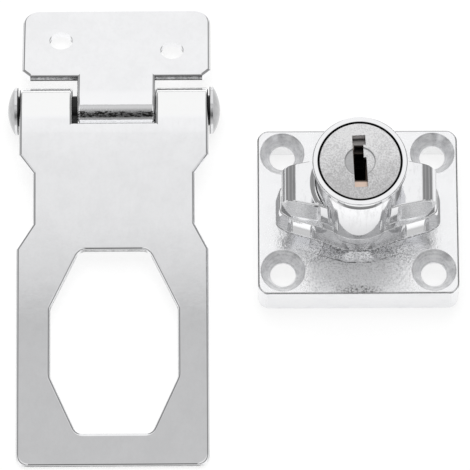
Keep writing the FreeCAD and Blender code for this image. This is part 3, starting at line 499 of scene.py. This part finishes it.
def plated_sheet(name, tilt, curl_end, holes, dark_reflection_arc, dark_reflection_share, dark_reflection_squeeze, dark_reflection_levels, bow):
    """Bright plating on pressed sheet, with sheared edges and a painted dark reflection along its curl.
    """
    material, tree = new_material(name)
    place = tree.place()
    normal = tree.normal()
    up = (0.0, -math.sin(tilt), math.cos(tilt))
    run = (0.0, math.cos(tilt), math.sin(tilt))

    # Distance from the pin along the sheet, below its upper face, and straight out
    away = tree.vector("SUBTRACT", place, PIN_CENTRE)
    along = tree.vector("DOT_PRODUCT", away, run)
    depth = tree.minus(KNUCKLE_RADIUS, tree.vector("DOT_PRODUCT", away, up))
    out = tree.reach(place, PIN_CENTRE, (0.0, 1.0, 1.0))
    flat = tree.product(tree.ramp(out, curl_end - HOLE_SOFT, curl_end),
                        tree.inverse(tree.band(out, *holes, HOLE_SOFT)))
    ends = tree.ramp(tree.unsigned(tree.vector("DOT_PRODUCT", normal, run)), *CUT_FACING)
    side = tree.ramp(tree.unsigned(tree.split(normal)[0]), *CUT_FACING)
    cut = tree.most(tree.product(ends, flat), side)

    grain = tree.noise(place, *SHEET_GRAIN)
    cloud = tree.noise(place, *SHEET_CLOUD)
    fleck = tree.ramp(tree.noise(place, *SHEET_FLECK), *SHEET_FLECK_LEVELS)
    pressed = tree.ramp(tree.noise(place, *SHEET_PRESSED), *PRESSED_LEVELS, 0.0, PRESSED_SHARE)
    tone = tree.total(tree.ramp(cloud, *SHEET_CLOUD_LEVELS), tree.product(fleck, SHEET_FLECK_SHARE),
                      pressed)
    flat_face = tree.mix_colour(tone, *SHEET_GREYS)
    face = tree.mix_colour(tree.ramp(out, curl_end - CURL_SOFT, curl_end), CURL_GREY, flat_face)
    colour = tree.mix_colour(cut, face, sheared_edge(tree, place, depth, along))

    # Painted dark reflection: dark dashes in a band round the curl, by their arc from the pin
    around = tree.math("ARCTAN2", tree.split(away)[2], tree.split(away)[1])
    dashes = tree.noise(place, *DARK_REFLECTION_DASHES, (1.0, dark_reflection_squeeze, dark_reflection_squeeze))
    start, end = (math.radians(angle) for angle in dark_reflection_arc)
    dark_reflection = tree.product(tree.band(around, start, end, DARK_REFLECTION_SOFT), tree.ramp(dashes, *dark_reflection_levels),
                        dark_reflection_share)
    colour = tree.mix_colour(dark_reflection, colour, DARK_REFLECTION_GREY)

    face_rough = tree.total(tree.product(grain, SHEET_GRAIN_ROUGH), SHEET_ROUGH)
    rough = tree.mix_value(cut, face_rough, EDGE_ROUGH)
    grain_height = tree.ramp(out, *ROLLED_REACH, ROLLED_GRAIN, FLAT_GRAIN)
    ease = tree.most(tree.total(along, BOW_START), 0.0)
    height = tree.total(tree.product(tree.noise(place, *SHEET_WAVES), SHEET_WAVE_HEIGHT),
                        tree.product(grain, grain_height), tree.product(cloud, SHEET_CLOUD_HEIGHT),
                        tree.product(ease, ease, -bow))
    finish_material(tree, colour, rough, height)
    return material


# Rivet steel, by the distance from the middle of the pin, with painted highlights and painted shade
HEAD_START = (PIN_HALF - 0.0014, PIN_HALF - 0.0012)
GAP_SHADE_BAND = (PIN_HALF - 0.001, PIN_HALF + 0.00012, 0.00008)
RIVET_GREYS = (grey(0.16), grey(0.36))
RIVET_LEVELS = (0.3, 0.7)
DOME_HIGHLIGHT_GREY = grey(0.58)
DOME_FACING = (0.50, 0.95)
DOME_SHARES = (0.0, 0.6)
HEAD_EDGE_HIGHLIGHT_GREY = grey(0.80)
EDGE_FACING = (0.16, 0.28)
GAP_SHADE_GREY = grey(0.03)
RIVET_ROUGH = 0.10
RIVET_CLOUD_ROUGH = 0.10
RIVET_CLOUD_HEIGHT = 2e-5
RIVET_GRAIN_HEIGHT = 2e-6


def rivet_steel():
    """Hinge pin: matt domed heads with painted highlights, and painted shade in the gaps under them."""
    material, tree = new_material("rivet_steel")
    place = tree.place()
    middle = tree.reach(place, PIN_CENTRE, (1.0, 0.0, 0.0))
    cloud = tree.noise(place, *RIVET_CLOUD)
    outward = tree.unsigned(tree.split(tree.normal())[0])
    # Painted shade in the gaps by the heads and on the shank; painted highlights on the domes and their
    # edges
    gap_shade = tree.most(tree.band(middle, *GAP_SHADE_BAND), tree.fall(middle, *HEAD_START))
    colour = tree.layers(
        tree.mix_colour(tree.ramp(cloud, *RIVET_LEVELS), *RIVET_GREYS),
        (tree.ramp(outward, *DOME_FACING, *DOME_SHARES), DOME_HIGHLIGHT_GREY),
        (tree.fall(outward, *EDGE_FACING), HEAD_EDGE_HIGHLIGHT_GREY),
        (gap_shade, GAP_SHADE_GREY))
    rough = tree.total(tree.product(cloud, RIVET_CLOUD_ROUGH), RIVET_ROUGH)
    height = tree.total(tree.product(cloud, RIVET_CLOUD_HEIGHT),
                        tree.product(tree.noise(place, *RIVET_GRAIN), RIVET_GRAIN_HEIGHT))
    finish_material(tree, colour, rough, height)
    return material


# Plated knob: the upright walls of its wings, painted shade in the well round the plug,
# a casting pit, the dark arris at the far side of the wings, and their cloudy tops
KNOB_STAIN_LEVELS = (0.5, 0.8)
KNOB_GREYS = (grey(0.95), grey(0.90))
KNOB_ROUGH = 0.03
KNOB_GRAIN_ROUGH = 0.05
KNOB_WAVE_HEIGHT = 2.2e-5
KNOB_GRAIN_HEIGHT = 1.8e-6
WALL_SOFT = 0.0004
WALL_LEVELS = (0.2, 0.8)
WALL_SHARES = (0.8, 1.0)
WALL_GREY = grey(0.68)
WALL_ROUGH = 0.22
WELL_SOFT = 0.00010
WELL_DEPTH = (KNOB_TOP - 0.0030, KNOB_TOP - 0.0025)
WELL_ROUGH = 0.5
PIT_PLACE = (0.0165, -0.0028, 0.0231)
PIT_KEEP = (1.0, 1.0, 1.4)
PIT_REACH = (0.0003, 0.0007)
PIT_SHARE = 0.9
WELL_SHADE_AND_PIT_BLACK = grey(0.015)
ARRIS_BACK = (0.15, 0.35)
ARRIS_UP = (0.25, 0.90, 0.06)
ARRIS_LEVEL = (0.0228, 0.0231)
ARRIS_REACH = (HUB_FILLET + 0.0010, HUB_FILLET + 0.0014)
ARRIS_LEVELS = (0.3, 0.7)
ARRIS_SHARES = (0.6, 1.0)
ARRIS_GREY = grey(0.42)
CLOUDY_LEVELS = (0.50, 0.72)
CLOUDY_UP = (0.90, 0.98)
CLOUDY_SOFT = 0.0003
CLOUDY_SHARE = 0.35
CLOUDY_GREY = grey(0.70)

# Hub of the knob: streaks drawn down its wall, a painted shadow line under the rim,
# painted shade towards its foot, and the lean of the wall, which is larger in front than at the sides
HUB_SOFT = 0.0004
RIM_SOFT = 0.0002
FRONT_TURN = (-0.88, -0.62)
DRAWN_TURN = 0.004
DRAWN_LEVEL = 0.10
DRAWN_LEVELS = (0.42, 0.66)
DRAWN_SHARES = (0.75, 0.35)
DRAWN_GREY = grey(0.62)
RIM_SHADOW_BAND = (0.0302, RIM_LOW + 0.0005, 0.0002)
RIM_SHADOW_TURN = (-0.96, -0.86)
RIM_SHADOW_SHARES = (0.9, 0.25)
RIM_SHADOW_GREY = grey(0.10)
HUB_DIM = (0.0150, 0.0300)
HUB_FOOT_SHADE_GREY = grey(0.70)
HUB_LEAN = (0.09, 0.22)


def plated_knob():
    """Bright plating on the smooth casting of the knob."""
    material, tree = new_material("plated_knob")
    place = tree.place()
    level = tree.split(place)[2]
    turn_right, turn_back, turn_up = tree.split(tree.normal())
    away = tree.reach(place, LOCK_AXIS)
    steep = tree.fall(turn_up, *STEEP)
    past_hub = tree.ramp(away, HUB_FILLET, HUB_FILLET + WALL_SOFT)
    wall = tree.product(past_hub, steep, tree.ramp(level, FLANGE_TOP, FLANGE_TOP + WALL_SOFT))
    # Painted shade: black in the well between knob and plug; the real casting pit shares this black
    well = tree.product(tree.fall(away, WELL_RADIUS, WELL_RADIUS + WELL_SOFT),
                        tree.ramp(level, *WELL_DEPTH))
    pit = tree.fall(tree.reach(place, PIT_PLACE, PIT_KEEP), *PIT_REACH)
    far_arris = tree.product(tree.ramp(turn_back, *ARRIS_BACK), tree.band(turn_up, *ARRIS_UP),
                             tree.ramp(level, *ARRIS_LEVEL), tree.ramp(away, *ARRIS_REACH))
    hub = tree.product(tree.fall(away, HUB_FILLET - HUB_SOFT, HUB_FILLET), steep,
                       tree.fall(level, RIM_LOW - RIM_SOFT, RIM_LOW))
    facing = tree.fall(turn_back, *FRONT_TURN)
    drawn_place = tree.join(tree.product(turn_right, DRAWN_TURN), 0.0, tree.product(level, DRAWN_LEVEL))
    drawn = tree.product(hub, tree.ramp(tree.noise(drawn_place, *HUB_DRAWN), *DRAWN_LEVELS),
                         tree.mix_value(facing, *DRAWN_SHARES))
    # Painted shadow line under the rim, strongest in front
    rim_shadow = tree.product(tree.band(level, *RIM_SHADOW_BAND), steep,
                            tree.ramp(turn_back, *RIM_SHADOW_TURN, *RIM_SHADOW_SHARES))
    cloudy = tree.product(tree.ramp(tree.noise(place, *WING_CLOUD), *CLOUDY_LEVELS),
                          tree.ramp(turn_up, *CLOUDY_UP),
                          tree.ramp(away, HUB_FILLET, HUB_FILLET + CLOUDY_SOFT), CLOUDY_SHARE)
    streak = tree.noise(place, *WALL_STREAK)
    stain = tree.ramp(tree.noise(place, *CAST_STAIN), *KNOB_STAIN_LEVELS)

    colour = tree.layers(
        tree.mix_colour(stain, *KNOB_GREYS),
        (drawn, DRAWN_GREY),
        (cloudy, CLOUDY_GREY),
        (rim_shadow, RIM_SHADOW_GREY),
        # Painted shade on the hub, growing towards its foot
        (tree.product(hub, tree.fall(level, *HUB_DIM)), HUB_FOOT_SHADE_GREY),
        (tree.product(wall, tree.ramp(streak, *WALL_LEVELS, *WALL_SHARES)), WALL_GREY),
        (tree.product(far_arris, tree.ramp(streak, *ARRIS_LEVELS, *ARRIS_SHARES)), ARRIS_GREY),
        # Painted shade in the well, and the casting pit
        (tree.most(well, tree.product(pit, PIT_SHARE)), WELL_SHADE_AND_PIT_BLACK))

    grain = tree.noise(place, *KNOB_GRAIN)
    rough = tree.total(tree.product(grain, KNOB_GRAIN_ROUGH), KNOB_ROUGH, tree.product(wall, WALL_ROUGH),
                       tree.product(well, WELL_ROUGH))
    lean = tree.product(hub, tree.minus(RIM_LOW, level), tree.mix_value(facing, *HUB_LEAN))
    height = tree.total(tree.product(tree.noise(place, *KNOB_WAVES), KNOB_WAVE_HEIGHT),
                        tree.product(grain, KNOB_GRAIN_HEIGHT), lean)
    finish_material(tree, colour, rough, height)
    return material


# Plated base: greys, roughness and bump heights of the pebbled top, of the smooth
# parts (boss, countersinks and outer walls) and of the turnings in the countersinks
BASE_STAIN_LEVELS = (0.45, 0.8)
BASE_GREYS = (grey(0.975), grey(0.93))
BASE_METAL = 0.85
BASE_ROUGH = 0.09
BASE_WAVE_HEIGHT = 1.0e-5
PEBBLE_HEIGHT = 4.0e-5
SMOOTH_HEIGHT = 2.5e-6
OUTSIDE_RIM = (-0.0002, -0.00005)
OUTSIDE_UP = (0.2, 0.5)
OUTSIDE_GREYS = (grey(0.99), grey(0.93))
OUTSIDE_ROUGH = 0.30
BRINK_BAND = (-0.00030, -0.00006, 0.00006)
BRINK_LEVEL = (0.0074, 0.0076)
BRINK_SHARE = 0.55
BRINK_GREY = grey(0.12)
# Painted light: the hollow under the base is pure white, as if lit
HOLLOW_RIM = (-0.0016, -0.0008)
HOLLOW_PAINTED_LIGHT_GREY = grey(1.0)
LEVEL_SOFT = 0.0001

# Countersinks, with painted shade on their near walls
SINK_SOFT = 0.00008
SINK_LEVEL_SOFT = 0.00002
RING_TURN = 0.00006
RING_LEVELS = (0.38, 0.60)
BLOTCH_LEVELS = (0.36, 0.62)
RING_SHARE, SPECKLE_SHARE, BLOTCH_SHARE = 0.45, 0.30, 0.45
NEAR_WALL_SHADE_BACK = (0.1, 0.6)
NEAR_WALL_SHADE_SHARE = -0.35
SINK_GREYS = (grey(0.66), grey(1.0))
RING_HEIGHT = 2.2e-5

# Fan of painted shade and reflection in front of the boss, lighter in a softer zone
# before it, and a patch of painted dark reflection at the plate's near edge. Across is
# counted from the lock's axis to either side and forward from it to the near edge.
FAN_ACROSS = (0.0080, 0.0140)
FAN_FORWARD = (0.0052, 0.0068)
FAN_FADE = (0.0095, 0.0145, 0.58)
SOFT_ACROSS = (0.0060, 0.0120)
SOFT_FORWARD = (0.0090, 0.0120)
SOFT_ROUGH = 0.04
SOFT_METAL = -0.50
FRONT_ACROSS = (0.0010, 0.0060)
FRONT_FORWARD = (0.0152, 0.0162)
FRONT_SHARES = (0.85, 0.15)
FRONT_REFLECTION_GREY = grey(0.12)
SHADED_FAN_LEVEL = (PLATE_TOP - 0.0003, PLATE_TOP - 0.0001)
SHADED_FAN_DARK = (grey(0.46), grey(0.60))
SHADED_FAN_LIGHT = (grey(0.92), grey(1.0))
SPECKLE_LEVELS = (0.36, 0.54)

# Dark dots at the boss's foot, and the crease of the faint step in front of it, which
# runs straight for CREASE_STRAIGHT to either side and then slants back
DOT_LEVELS = (0.42, 0.56)
DOT_SHARES = (0.15, 1.0)
FOOT_BAND = (PLATE_TOP - 0.00002, PLATE_TOP + 0.00022, 0.00005)
FOOT_UP = (0.5, 0.8)
FOOT_RIM = (-0.0012, -0.0008)
CREASE_STRAIGHT = 0.0025
CREASE_SLANT = 0.303
CREASE_BAND = (0.01074, 0.01090, 0.00008)
CREASE_END = (0.0110, 0.0130)
CREASE_FADE = (CREASE_STRAIGHT, 0.0090, 0.35)
LINE_SHARE = 0.85
LINE_GREY = grey(0.06)

# Boss: its wall leans by a slope, more at its middle and in its bulging corners, with a painted
# highlight
BOSS_LEVEL = (PLATE_TOP + 0.00005, PLATE_TOP + 0.0005)
BOSS_UP = (0.3, 0.6)
BOSS_METAL = 0.98
BOSS_ROUGH = 0.06
BOSS_LEVELS = (0.35, 0.7)
BOSS_SHARES = (0.6, 1.0)
BOSS_GREY = grey(0.86)
BOSS_SLOPE = 0.12
INNER_ACROSS = (0.0035, 0.0085, 0.0008)
INNER_SLOPE = 0.12
BULGE_ACROSS = (0.0096, 0.0130, 0.0004)
BULGE_LEVEL = (0.0088, 0.0138, 0.0004)
BULGE_FORWARD = (0.0010, 0.0020)
BULGE_SLOPE = 0.22
BULGE_CURVE = 30.0
BULGE_HIGHLIGHT_GREY = grey(0.99)


def countersinks(tree, place, x, y, z, speckle):
    """Share of the countersinks, their turned rings, and their colour with painted shade on their near
    walls.
    """
    hole_x = tree.minus(x, SCREW_PLACE[0])
    hole_y = tree.minus(y, SCREW_PLACE[1])
    from_hole = tree.vector("LENGTH", tree.join(hole_x, hole_y, 0.0))
    turned = tree.product(tree.math("ARCTAN2", hole_y, hole_x), RING_TURN)
    sink = tree.product(tree.fall(from_hole, SINK_RADIUS, SINK_RADIUS + SINK_SOFT),
                        tree.fall(z, PLATE_TOP - SINK_LEVEL_SOFT, PLATE_TOP + SINK_LEVEL_SOFT),
                        tree.ramp(z, CEILING - LEVEL_SOFT, CEILING))
    rings = tree.noise(tree.join(from_hole, turned, 0.0), *SINK_RINGS)
    blotch = tree.ramp(tree.noise(place, *SINK_BLOTCH), *BLOTCH_LEVELS)
    turn_back = tree.split(tree.normal())[1]
    # Painted shade on the near walls of the countersinks
    tone = tree.total(tree.product(tree.ramp(rings, *RING_LEVELS), RING_SHARE),
                      tree.product(speckle, SPECKLE_SHARE), tree.product(blotch, BLOTCH_SHARE),
                      tree.ramp(turn_back, *NEAR_WALL_SHADE_BACK, 0.0, NEAR_WALL_SHADE_SHARE))
    return sink, rings, tree.mix_colour(tone, *SINK_GREYS)


def boss_lines(tree, x, z, forward, rim, turn_up, off_boss):
    """Dark dots along the boss's foot and the crease of the step in front of it."""
    dots = tree.ramp(tree.noise(tree.place(), *BASE_DOTS), *DOT_LEVELS)
    foot = tree.product(tree.band(z, *FOOT_BAND), dots, tree.fall(turn_up, *FOOT_UP),
                        tree.fall(rim, *FOOT_RIM))
    beyond = tree.most(tree.minus(x, CREASE_STRAIGHT), 0.0)
    step = tree.total(forward, tree.product(beyond, CREASE_SLANT))
    crease = tree.product(tree.band(step, *CREASE_BAND), tree.fall(x, *CREASE_END),
                          tree.fall(x, *CREASE_FADE), off_boss, tree.ramp(dots, 0.0, 1.0, *DOT_SHARES))
    return tree.product(tree.most(foot, crease), LINE_SHARE)


def plated_base():
    """Pebbled plating on the top of the base, turned countersinks, smoother boss."""
    material, tree = new_material("plated_base")
    place = tree.place()
    turn_up = tree.split(tree.normal())[2]

    # Distance from the lock's axis to either side and to the near edge, and past the rim
    across, along, z = tree.split(tree.vector("SUBTRACT", place, LOCK_AXIS))
    x, y = tree.unsigned(across), tree.unsigned(along)
    forward = tree.product(along, -1.0)
    rim = tree.most(tree.minus(x, PLATE_HALF[0]), tree.minus(y, PLATE_HALF[1]))
    outside = tree.product(tree.ramp(rim, *OUTSIDE_RIM), tree.fall(turn_up, *OUTSIDE_UP))
    brink = tree.product(tree.band(rim, *BRINK_BAND), tree.ramp(z, *BRINK_LEVEL), BRINK_SHARE)
    # Painted light: pure white in the hollow under the ceiling
    hollow = tree.product(tree.fall(z, CEILING - LEVEL_SOFT, CEILING), tree.fall(rim, *HOLLOW_RIM))
    boss = tree.ramp(z, *BOSS_LEVEL)
    off_boss = tree.inverse(boss)
    wall = tree.product(boss, tree.fall(turn_up, *BOSS_UP))
    # Painted highlight on the boss's bulging corners, besides their lean
    bulge = tree.product(wall, tree.band(x, *BULGE_ACROSS), tree.band(z, *BULGE_LEVEL),
                         tree.ramp(forward, *BULGE_FORWARD))

    # Painted shade and reflection of the knob on the plate in front of the boss
    fan = tree.product(tree.fall(x, *FAN_ACROSS), tree.ramp(forward, *FAN_FORWARD),
                       tree.fall(forward, *FAN_FADE))
    soft = tree.product(tree.fall(x, *SOFT_ACROSS), tree.ramp(forward, *SOFT_FORWARD),
                        tree.inverse(outside))
    # Painted dark reflection at the plate's near edge
    front = tree.product(tree.fall(x, *FRONT_ACROSS), tree.ramp(forward, *FRONT_FORWARD))
    shaded_fan = tree.product(tree.most(fan, front), tree.ramp(z, *SHADED_FAN_LEVEL), off_boss)
    speckle = tree.ramp(tree.noise(place, *BASE_SPECKLE), *SPECKLE_LEVELS)
    shaded_fan_colour = tree.mix_colour(speckle, tree.mix_colour(soft, *SHADED_FAN_DARK),
                                  tree.mix_colour(soft, *SHADED_FAN_LIGHT))
    sink, rings, sink_colour = countersinks(tree, place, x, y, z, speckle)
    stain = tree.ramp(tree.noise(place, *CAST_STAIN), *BASE_STAIN_LEVELS)
    streak = tree.ramp(tree.noise(place, *WALL_STREAK), *BOSS_LEVELS, *BOSS_SHARES)

    colour = tree.layers(
        tree.mix_colour(stain, *BASE_GREYS),
        (hollow, HOLLOW_PAINTED_LIGHT_GREY),
        (shaded_fan, shaded_fan_colour),
        (tree.product(front, tree.mix_value(speckle, *FRONT_SHARES)), FRONT_REFLECTION_GREY),
        (tree.product(wall, streak), BOSS_GREY),
        (bulge, BULGE_HIGHLIGHT_GREY),
        (boss_lines(tree, x, z, forward, rim, turn_up, off_boss), LINE_GREY),
        (sink, sink_colour),
        (outside, tree.mix_colour(stain, *OUTSIDE_GREYS)),
        (brink, BRINK_GREY))

    rough = tree.mix_value(boss, tree.total(tree.product(soft, SOFT_ROUGH), BASE_ROUGH), BOSS_ROUGH)
    rough = tree.mix_value(tree.most(sink, outside), rough, OUTSIDE_ROUGH)
    metal = tree.mix_value(boss, tree.total(tree.product(soft, SOFT_METAL), BASE_METAL), BOSS_METAL)
    pebble = tree.mix_value(tree.most(boss, sink, outside), PEBBLE_HEIGHT, SMOOTH_HEIGHT)
    drop = tree.minus(BOSS_TOP, z)
    inner = tree.product(wall, tree.band(x, *INNER_ACROSS), INNER_SLOPE)
    slope = tree.total(BOSS_SLOPE, inner,
                       tree.product(bulge, tree.total(tree.product(drop, BULGE_CURVE), BULGE_SLOPE)))
    height = tree.total(tree.product(tree.noise(place, *BASE_WAVES), BASE_WAVE_HEIGHT),
                        tree.product(tree.noise(place, *BASE_PEBBLE), pebble),
                        tree.product(rings, sink, RING_HEIGHT), tree.product(wall, drop, slope))
    finish_material(tree, colour, rough, height, metal)
    return material


# Face of the key plug, with painted light that makes it brighter at its far side than at its near side
FACE_GRAIN_LEVELS = (0.38, 0.62)
FACE_CLOUD_LEVELS = (0.3, 0.7)
FACE_GRAIN_SHARE, FACE_CLOUD_SHARE = 0.65, 0.35
FACE_PAINTED_LIGHT_SHARES = (-0.42, 0.45)
FACE_DARK = grey(0.58, 0.008)
FACE_LIGHT = grey(1.0, 0.004)
FACE_ROUGH = 0.26
FACE_CLOUD_ROUGH = 0.10
FACE_GRAIN_HEIGHT = 9.0e-6
DISH_BAND = (DISH_RADIUS - 0.00015, DISH_RADIUS + 0.00005, 0.0001)
DISH_LEVEL = (HEAD_FACE - 0.001, HEAD_FACE - 0.0009)
DISH_SHARE = 0.55
DISH_EDGE_SHADE_GREY = grey(0.30)
HOLLOW_REACH = (DISH_RADIUS - 0.0002, DISH_RADIUS)
HOLLOW_LEVEL = (HEAD_FACE - 0.0008, HEAD_FACE - 0.0007)
HOLLOW_ACROSS = (-0.0010, 0.0010)
HOLLOW_SHARES = (0.75, 0.0)
DISH_SHADE_GREY = grey(0.50)
FACE_RIM = (HEAD_RADIUS - 0.00012, HEAD_RADIUS - 0.00004)
FACE_DEEP = (HEAD_FACE - 0.0022, HEAD_FACE - 0.0010)
FACE_SHADE_BLACK = grey(0.012)


def satin_face():
    """Fine blasted face of the key plug, with painted light across it, a shallow dish with painted
    shade, and a black rim of painted shade.
    """
    material, tree = new_material("satin_face")
    place = tree.place()
    across, along, level = tree.split(tree.vector("SUBTRACT", place, LOCK_AXIS))
    away = tree.reach(place, LOCK_AXIS)
    grain = tree.noise(place, *FACE_GRAIN)
    cloud = tree.noise(place, *FACE_CLOUD)
    # Painted light: the face brightens from its near side to its far side
    tone = tree.total(tree.product(tree.ramp(grain, *FACE_GRAIN_LEVELS), FACE_GRAIN_SHARE),
                      tree.product(tree.ramp(cloud, *FACE_CLOUD_LEVELS), FACE_CLOUD_SHARE),
                      tree.ramp(along, -HEAD_RADIUS, HEAD_RADIUS, *FACE_PAINTED_LIGHT_SHARES))
    # Painted shade on the left side of the dish
    hollow = tree.product(tree.fall(away, *HOLLOW_REACH), tree.ramp(level, *HOLLOW_LEVEL),
                          tree.ramp(across, *HOLLOW_ACROSS, *HOLLOW_SHARES))
    # Painted shade along the dish's edge
    dish = tree.product(tree.band(away, *DISH_BAND), tree.ramp(level, *DISH_LEVEL), DISH_SHARE)
    # Painted shade, black, at the face's rim and down the plug's sides
    black = tree.most(tree.ramp(away, *FACE_RIM), tree.fall(level, *FACE_DEEP))
    colour = tree.layers(tree.mix_colour(tone, FACE_DARK, FACE_LIGHT), (hollow, DISH_SHADE_GREY),
                         (dish, DISH_EDGE_SHADE_GREY), (black, FACE_SHADE_BLACK))
    rough = tree.total(tree.product(cloud, FACE_CLOUD_ROUGH), FACE_ROUGH)
    finish_material(tree, colour, rough, tree.product(grain, FACE_GRAIN_HEIGHT))
    return material


# Wafers, which show a little at the near and the far end of the keyway, counted
# from the lock's axis
BRASS_DARK = (0.84, 0.62, 0.50, 1.0)
BRASS_LIGHT = (0.96, 0.80, 0.70, 1.0)
BRASS_DEEP_SHADE = (0.03, 0.024, 0.02, 1.0)
BRASS_ROUGH = 0.26
BRASS_GRAIN_ROUGH = 0.12
BRASS_GRAIN_HEIGHT = 8.0e-6
NEAR_END = (-0.0036, -0.0032)
FAR_END = (0.0030, 0.0042)
FAR_SHARE = 0.65
FAR_GREY = grey(0.60, 0.02)
FAR_GREY_SHARE = 1.4
SHOWN_LEVEL = (HEAD_FACE - 0.0052, HEAD_FACE - 0.0034)
DEEP_SHADE_SHARE = 0.95


def wafer_brass():
    """Pinkish brass of the wafers, with painted shade down in the keyway."""
    material, tree = new_material("wafer_brass")
    place = tree.place()
    along, level = tree.split(tree.vector("SUBTRACT", place, LOCK_AXIS))[1:]
    grain = tree.noise(place, *BRASS_GRAIN)
    far = tree.product(tree.ramp(along, *FAR_END), FAR_SHARE)
    # Painted shade: the wafers are dark except near the ends and the top of the keyway
    shown = tree.product(tree.most(tree.fall(along, *NEAR_END), far), tree.ramp(level, *SHOWN_LEVEL))
    colour = tree.layers(
        tree.mix_colour(grain, BRASS_DARK, BRASS_LIGHT),
        (tree.product(far, FAR_GREY_SHARE), FAR_GREY),
        (tree.product(tree.inverse(shown), DEEP_SHADE_SHARE), BRASS_DEEP_SHADE))
    rough = tree.total(tree.product(grain, BRASS_GRAIN_ROUGH), BRASS_ROUGH)
    finish_material(tree, colour, rough, tree.product(grain, BRASS_GRAIN_HEIGHT))
    return material


# Parts inside
INNER_GREYS = (grey(0.55), grey(0.70))
INNER_ROUGH = 0.30
INNER_GRAIN_ROUGH = 0.15
INNER_GRAIN_HEIGHT = 1.2e-5


def inner_steel():
    """Dull zinc finish of the parts inside."""
    material, tree = new_material("inner_steel")
    grain = tree.noise(tree.place(), *INNER_GRAIN)
    colour = tree.mix_colour(grain, *INNER_GREYS)
    rough = tree.total(tree.product(grain, INNER_GRAIN_ROUGH), INNER_ROUGH)
    finish_material(tree, colour, rough, tree.product(grain, INNER_GRAIN_HEIGHT))
    return material


def dress_nodes():
    """Give every node the material that suits it."""
    brass, inner = wafer_brass(), inner_steel()
    named = {
        "hasp_strap": plated_sheet("plated_strap", **STRAP),
        "hinge_leaf": plated_sheet("plated_leaf", **LEAF),
        "hinge_pin": rivet_steel(),
        "lock_base": plated_base(),
        "turn_knob": plated_knob(),
        "key_plug": satin_face(),
    }
    for name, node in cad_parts.items():
        wafer = name.startswith(("wafer_", "retaining_wafer")) and "spring" not in name
        material = named.get(name, brass if wafer else inner)
        if not node.material_slots:
            node.data.materials.append(material)
        for slot in node.material_slots:
            slot.material = material


place_camera()
light_world()
add_lamp()
make_floor()
dress_nodes()
bpy.context.scene.view_settings.view_transform = "Standard"
